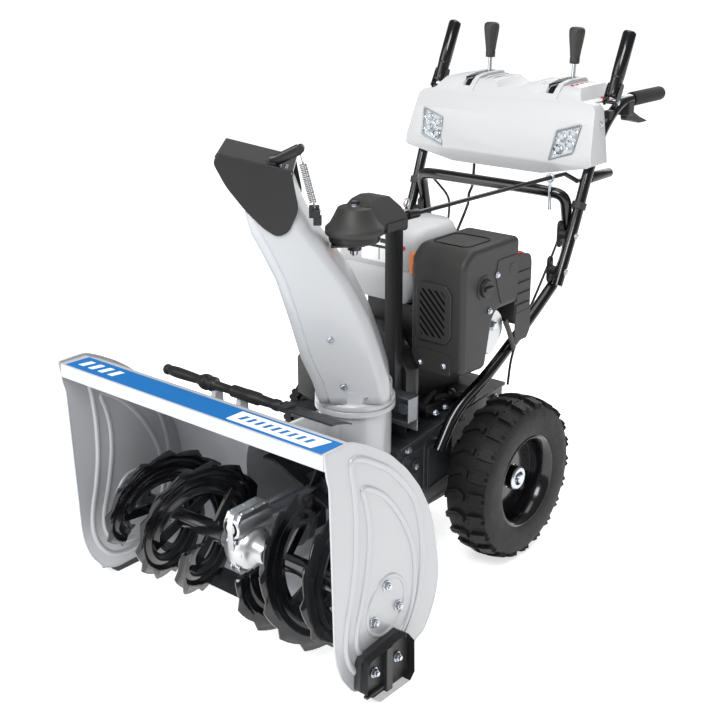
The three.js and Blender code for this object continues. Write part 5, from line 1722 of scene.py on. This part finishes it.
@dataclass
class Studio:
    """A pale floor, soft lamps and the camera.

    Attributes:
        eye: the camera's place in the drawing.
        azimuth: the camera's turn about Z in degrees.
        elevation: its height angle in degrees.
        roll: its turn about its own line of sight.
        lens: its focal length on a 36 mm sensor.
        sky: the sky's strength.
        sky_in_reflections: the sky's strength where it is mirrored.
        floor_light: the light that the floor adds to what falls on it.
    """

    eye: tuple[float, float, float] = (1600.2, -1388.1, 1372.9)
    azimuth: float = 39.97
    elevation: float = 19.85
    roll: float = -0.1
    lens: float = 60.8
    sky: float = 0.5
    sky_in_reflections: float = 0.22
    floor_light: float = 0.62

    def floor(self) -> None:
        """Lays a wide pale floor at the lowest level."""
        bpy.ops.mesh.primitive_plane_add(size=60.0, location=(0.0, 0.0, 0.0))
        floor = bpy.context.object
        floor.name = "floor"
        shader = Shader("studio_floor")
        shader.set(Base_Color=(0.85, 0.85, 0.85), Roughness=0.9, Emission_Color=(1.0, 1.0, 1.0),
                   Emission_Strength=self.floor_light)
        floor.data.materials.append(shader.material)

    def lamp(self, name: str, place: Point, size: float, power: float) -> None:
        """Adds a square area lamp that looks at the machine's middle."""
        light = bpy.data.lights.new(name, "AREA")
        light.size = size
        light.energy = power
        made = bpy.data.objects.new(name, light)
        made.matrix_world = facing(Vector(place), Vector(place) - Vector((0.0, 0.0, 0.45)))
        bpy.context.scene.collection.objects.link(made)

    def surroundings(self) -> None:
        """Fills the shadows with a plain white sky that is dimmer in reflections."""
        world = bpy.data.worlds.new("studio_sky")
        world.use_nodes = True
        tree = world.node_tree
        backdrop = tree.nodes["Background"]
        backdrop.inputs["Color"].default_value = (1.0, 1.0, 1.0, 1.0)
        path = tree.nodes.new("ShaderNodeLightPath")
        strength = tree.nodes.new("ShaderNodeMapRange")
        strength.inputs["To Min"].default_value = self.sky
        strength.inputs["To Max"].default_value = self.sky_in_reflections
        tree.links.new(path.outputs["Is Glossy Ray"], strength.inputs["Value"])
        seen = tree.nodes.new("ShaderNodeMath")
        seen.operation = "MAXIMUM"
        tree.links.new(strength.outputs["Result"], seen.inputs[0])
        tree.links.new(path.outputs["Is Camera Ray"], seen.inputs[1])
        tree.links.new(seen.outputs["Value"], backdrop.inputs["Strength"])
        bpy.context.scene.world = world

    def camera(self) -> None:
        """Places the camera."""
        side, height = math.radians(self.azimuth), math.radians(self.elevation)
        back = Vector((math.sin(side) * math.cos(height), -math.cos(side) * math.cos(height),
                       math.sin(height)))
        data = bpy.data.cameras.new("camera")
        data.lens = self.lens
        data.sensor_width = 36.0
        made = bpy.data.objects.new("camera", data)
        turn = (-back).to_track_quat("-Z", "Y").to_matrix().to_4x4()
        place = Matrix.Translation(TO_ROW @ Vector(self.eye))
        made.matrix_world = place @ turn @ Matrix.Rotation(math.radians(self.roll), 4, "Z")
        bpy.context.scene.collection.objects.link(made)
        bpy.context.scene.camera = made

    def build(self) -> None:
        """Sets the whole stage."""
        bpy.context.scene.view_settings.view_transform = "Standard"
        self.camera()
        self.floor()
        self.surroundings()
        self.lamp("key_lamp", (1.2, -3.0, 3.6), 1.8, 135.0)
        self.lamp("front_lamp", (-1.6, -3.6, 1.8), 3.0, 90.0)
        self.lamp("top_lamp", (0.2, 0.6, 3.8), 2.6, 60.0)
        self.lamp("rear_lamp", (-0.6, 3.4, 2.6), 2.2, 60.0)


def dress_nodes() -> None:
    """Gives every CAD node that still shows a copy of itself with rounded edges and its finish."""
    for look, nodes in NODE_FINISHES.items():
        for node in nodes:
            frame["nodes"][node].data.materials.clear()
            frame["nodes"][node].data.materials.append(look.material())
            if not frame["nodes"][node].hide_render:
                refine(node, look, 0.0 if node in UNBEVELLED else 0.8)


def main() -> None:
    """Builds the stage and the machine, one sub-assembly after another."""
    logging.basicConfig(level=logging.INFO, format="%(name)s: %(message)s")
    Studio().build()
    for assembly in ASSEMBLIES:
        LOG.info("building %s", assembly.__name__)
        assembly().build()
    dress_nodes()


if __name__ == "__main__":
    main()
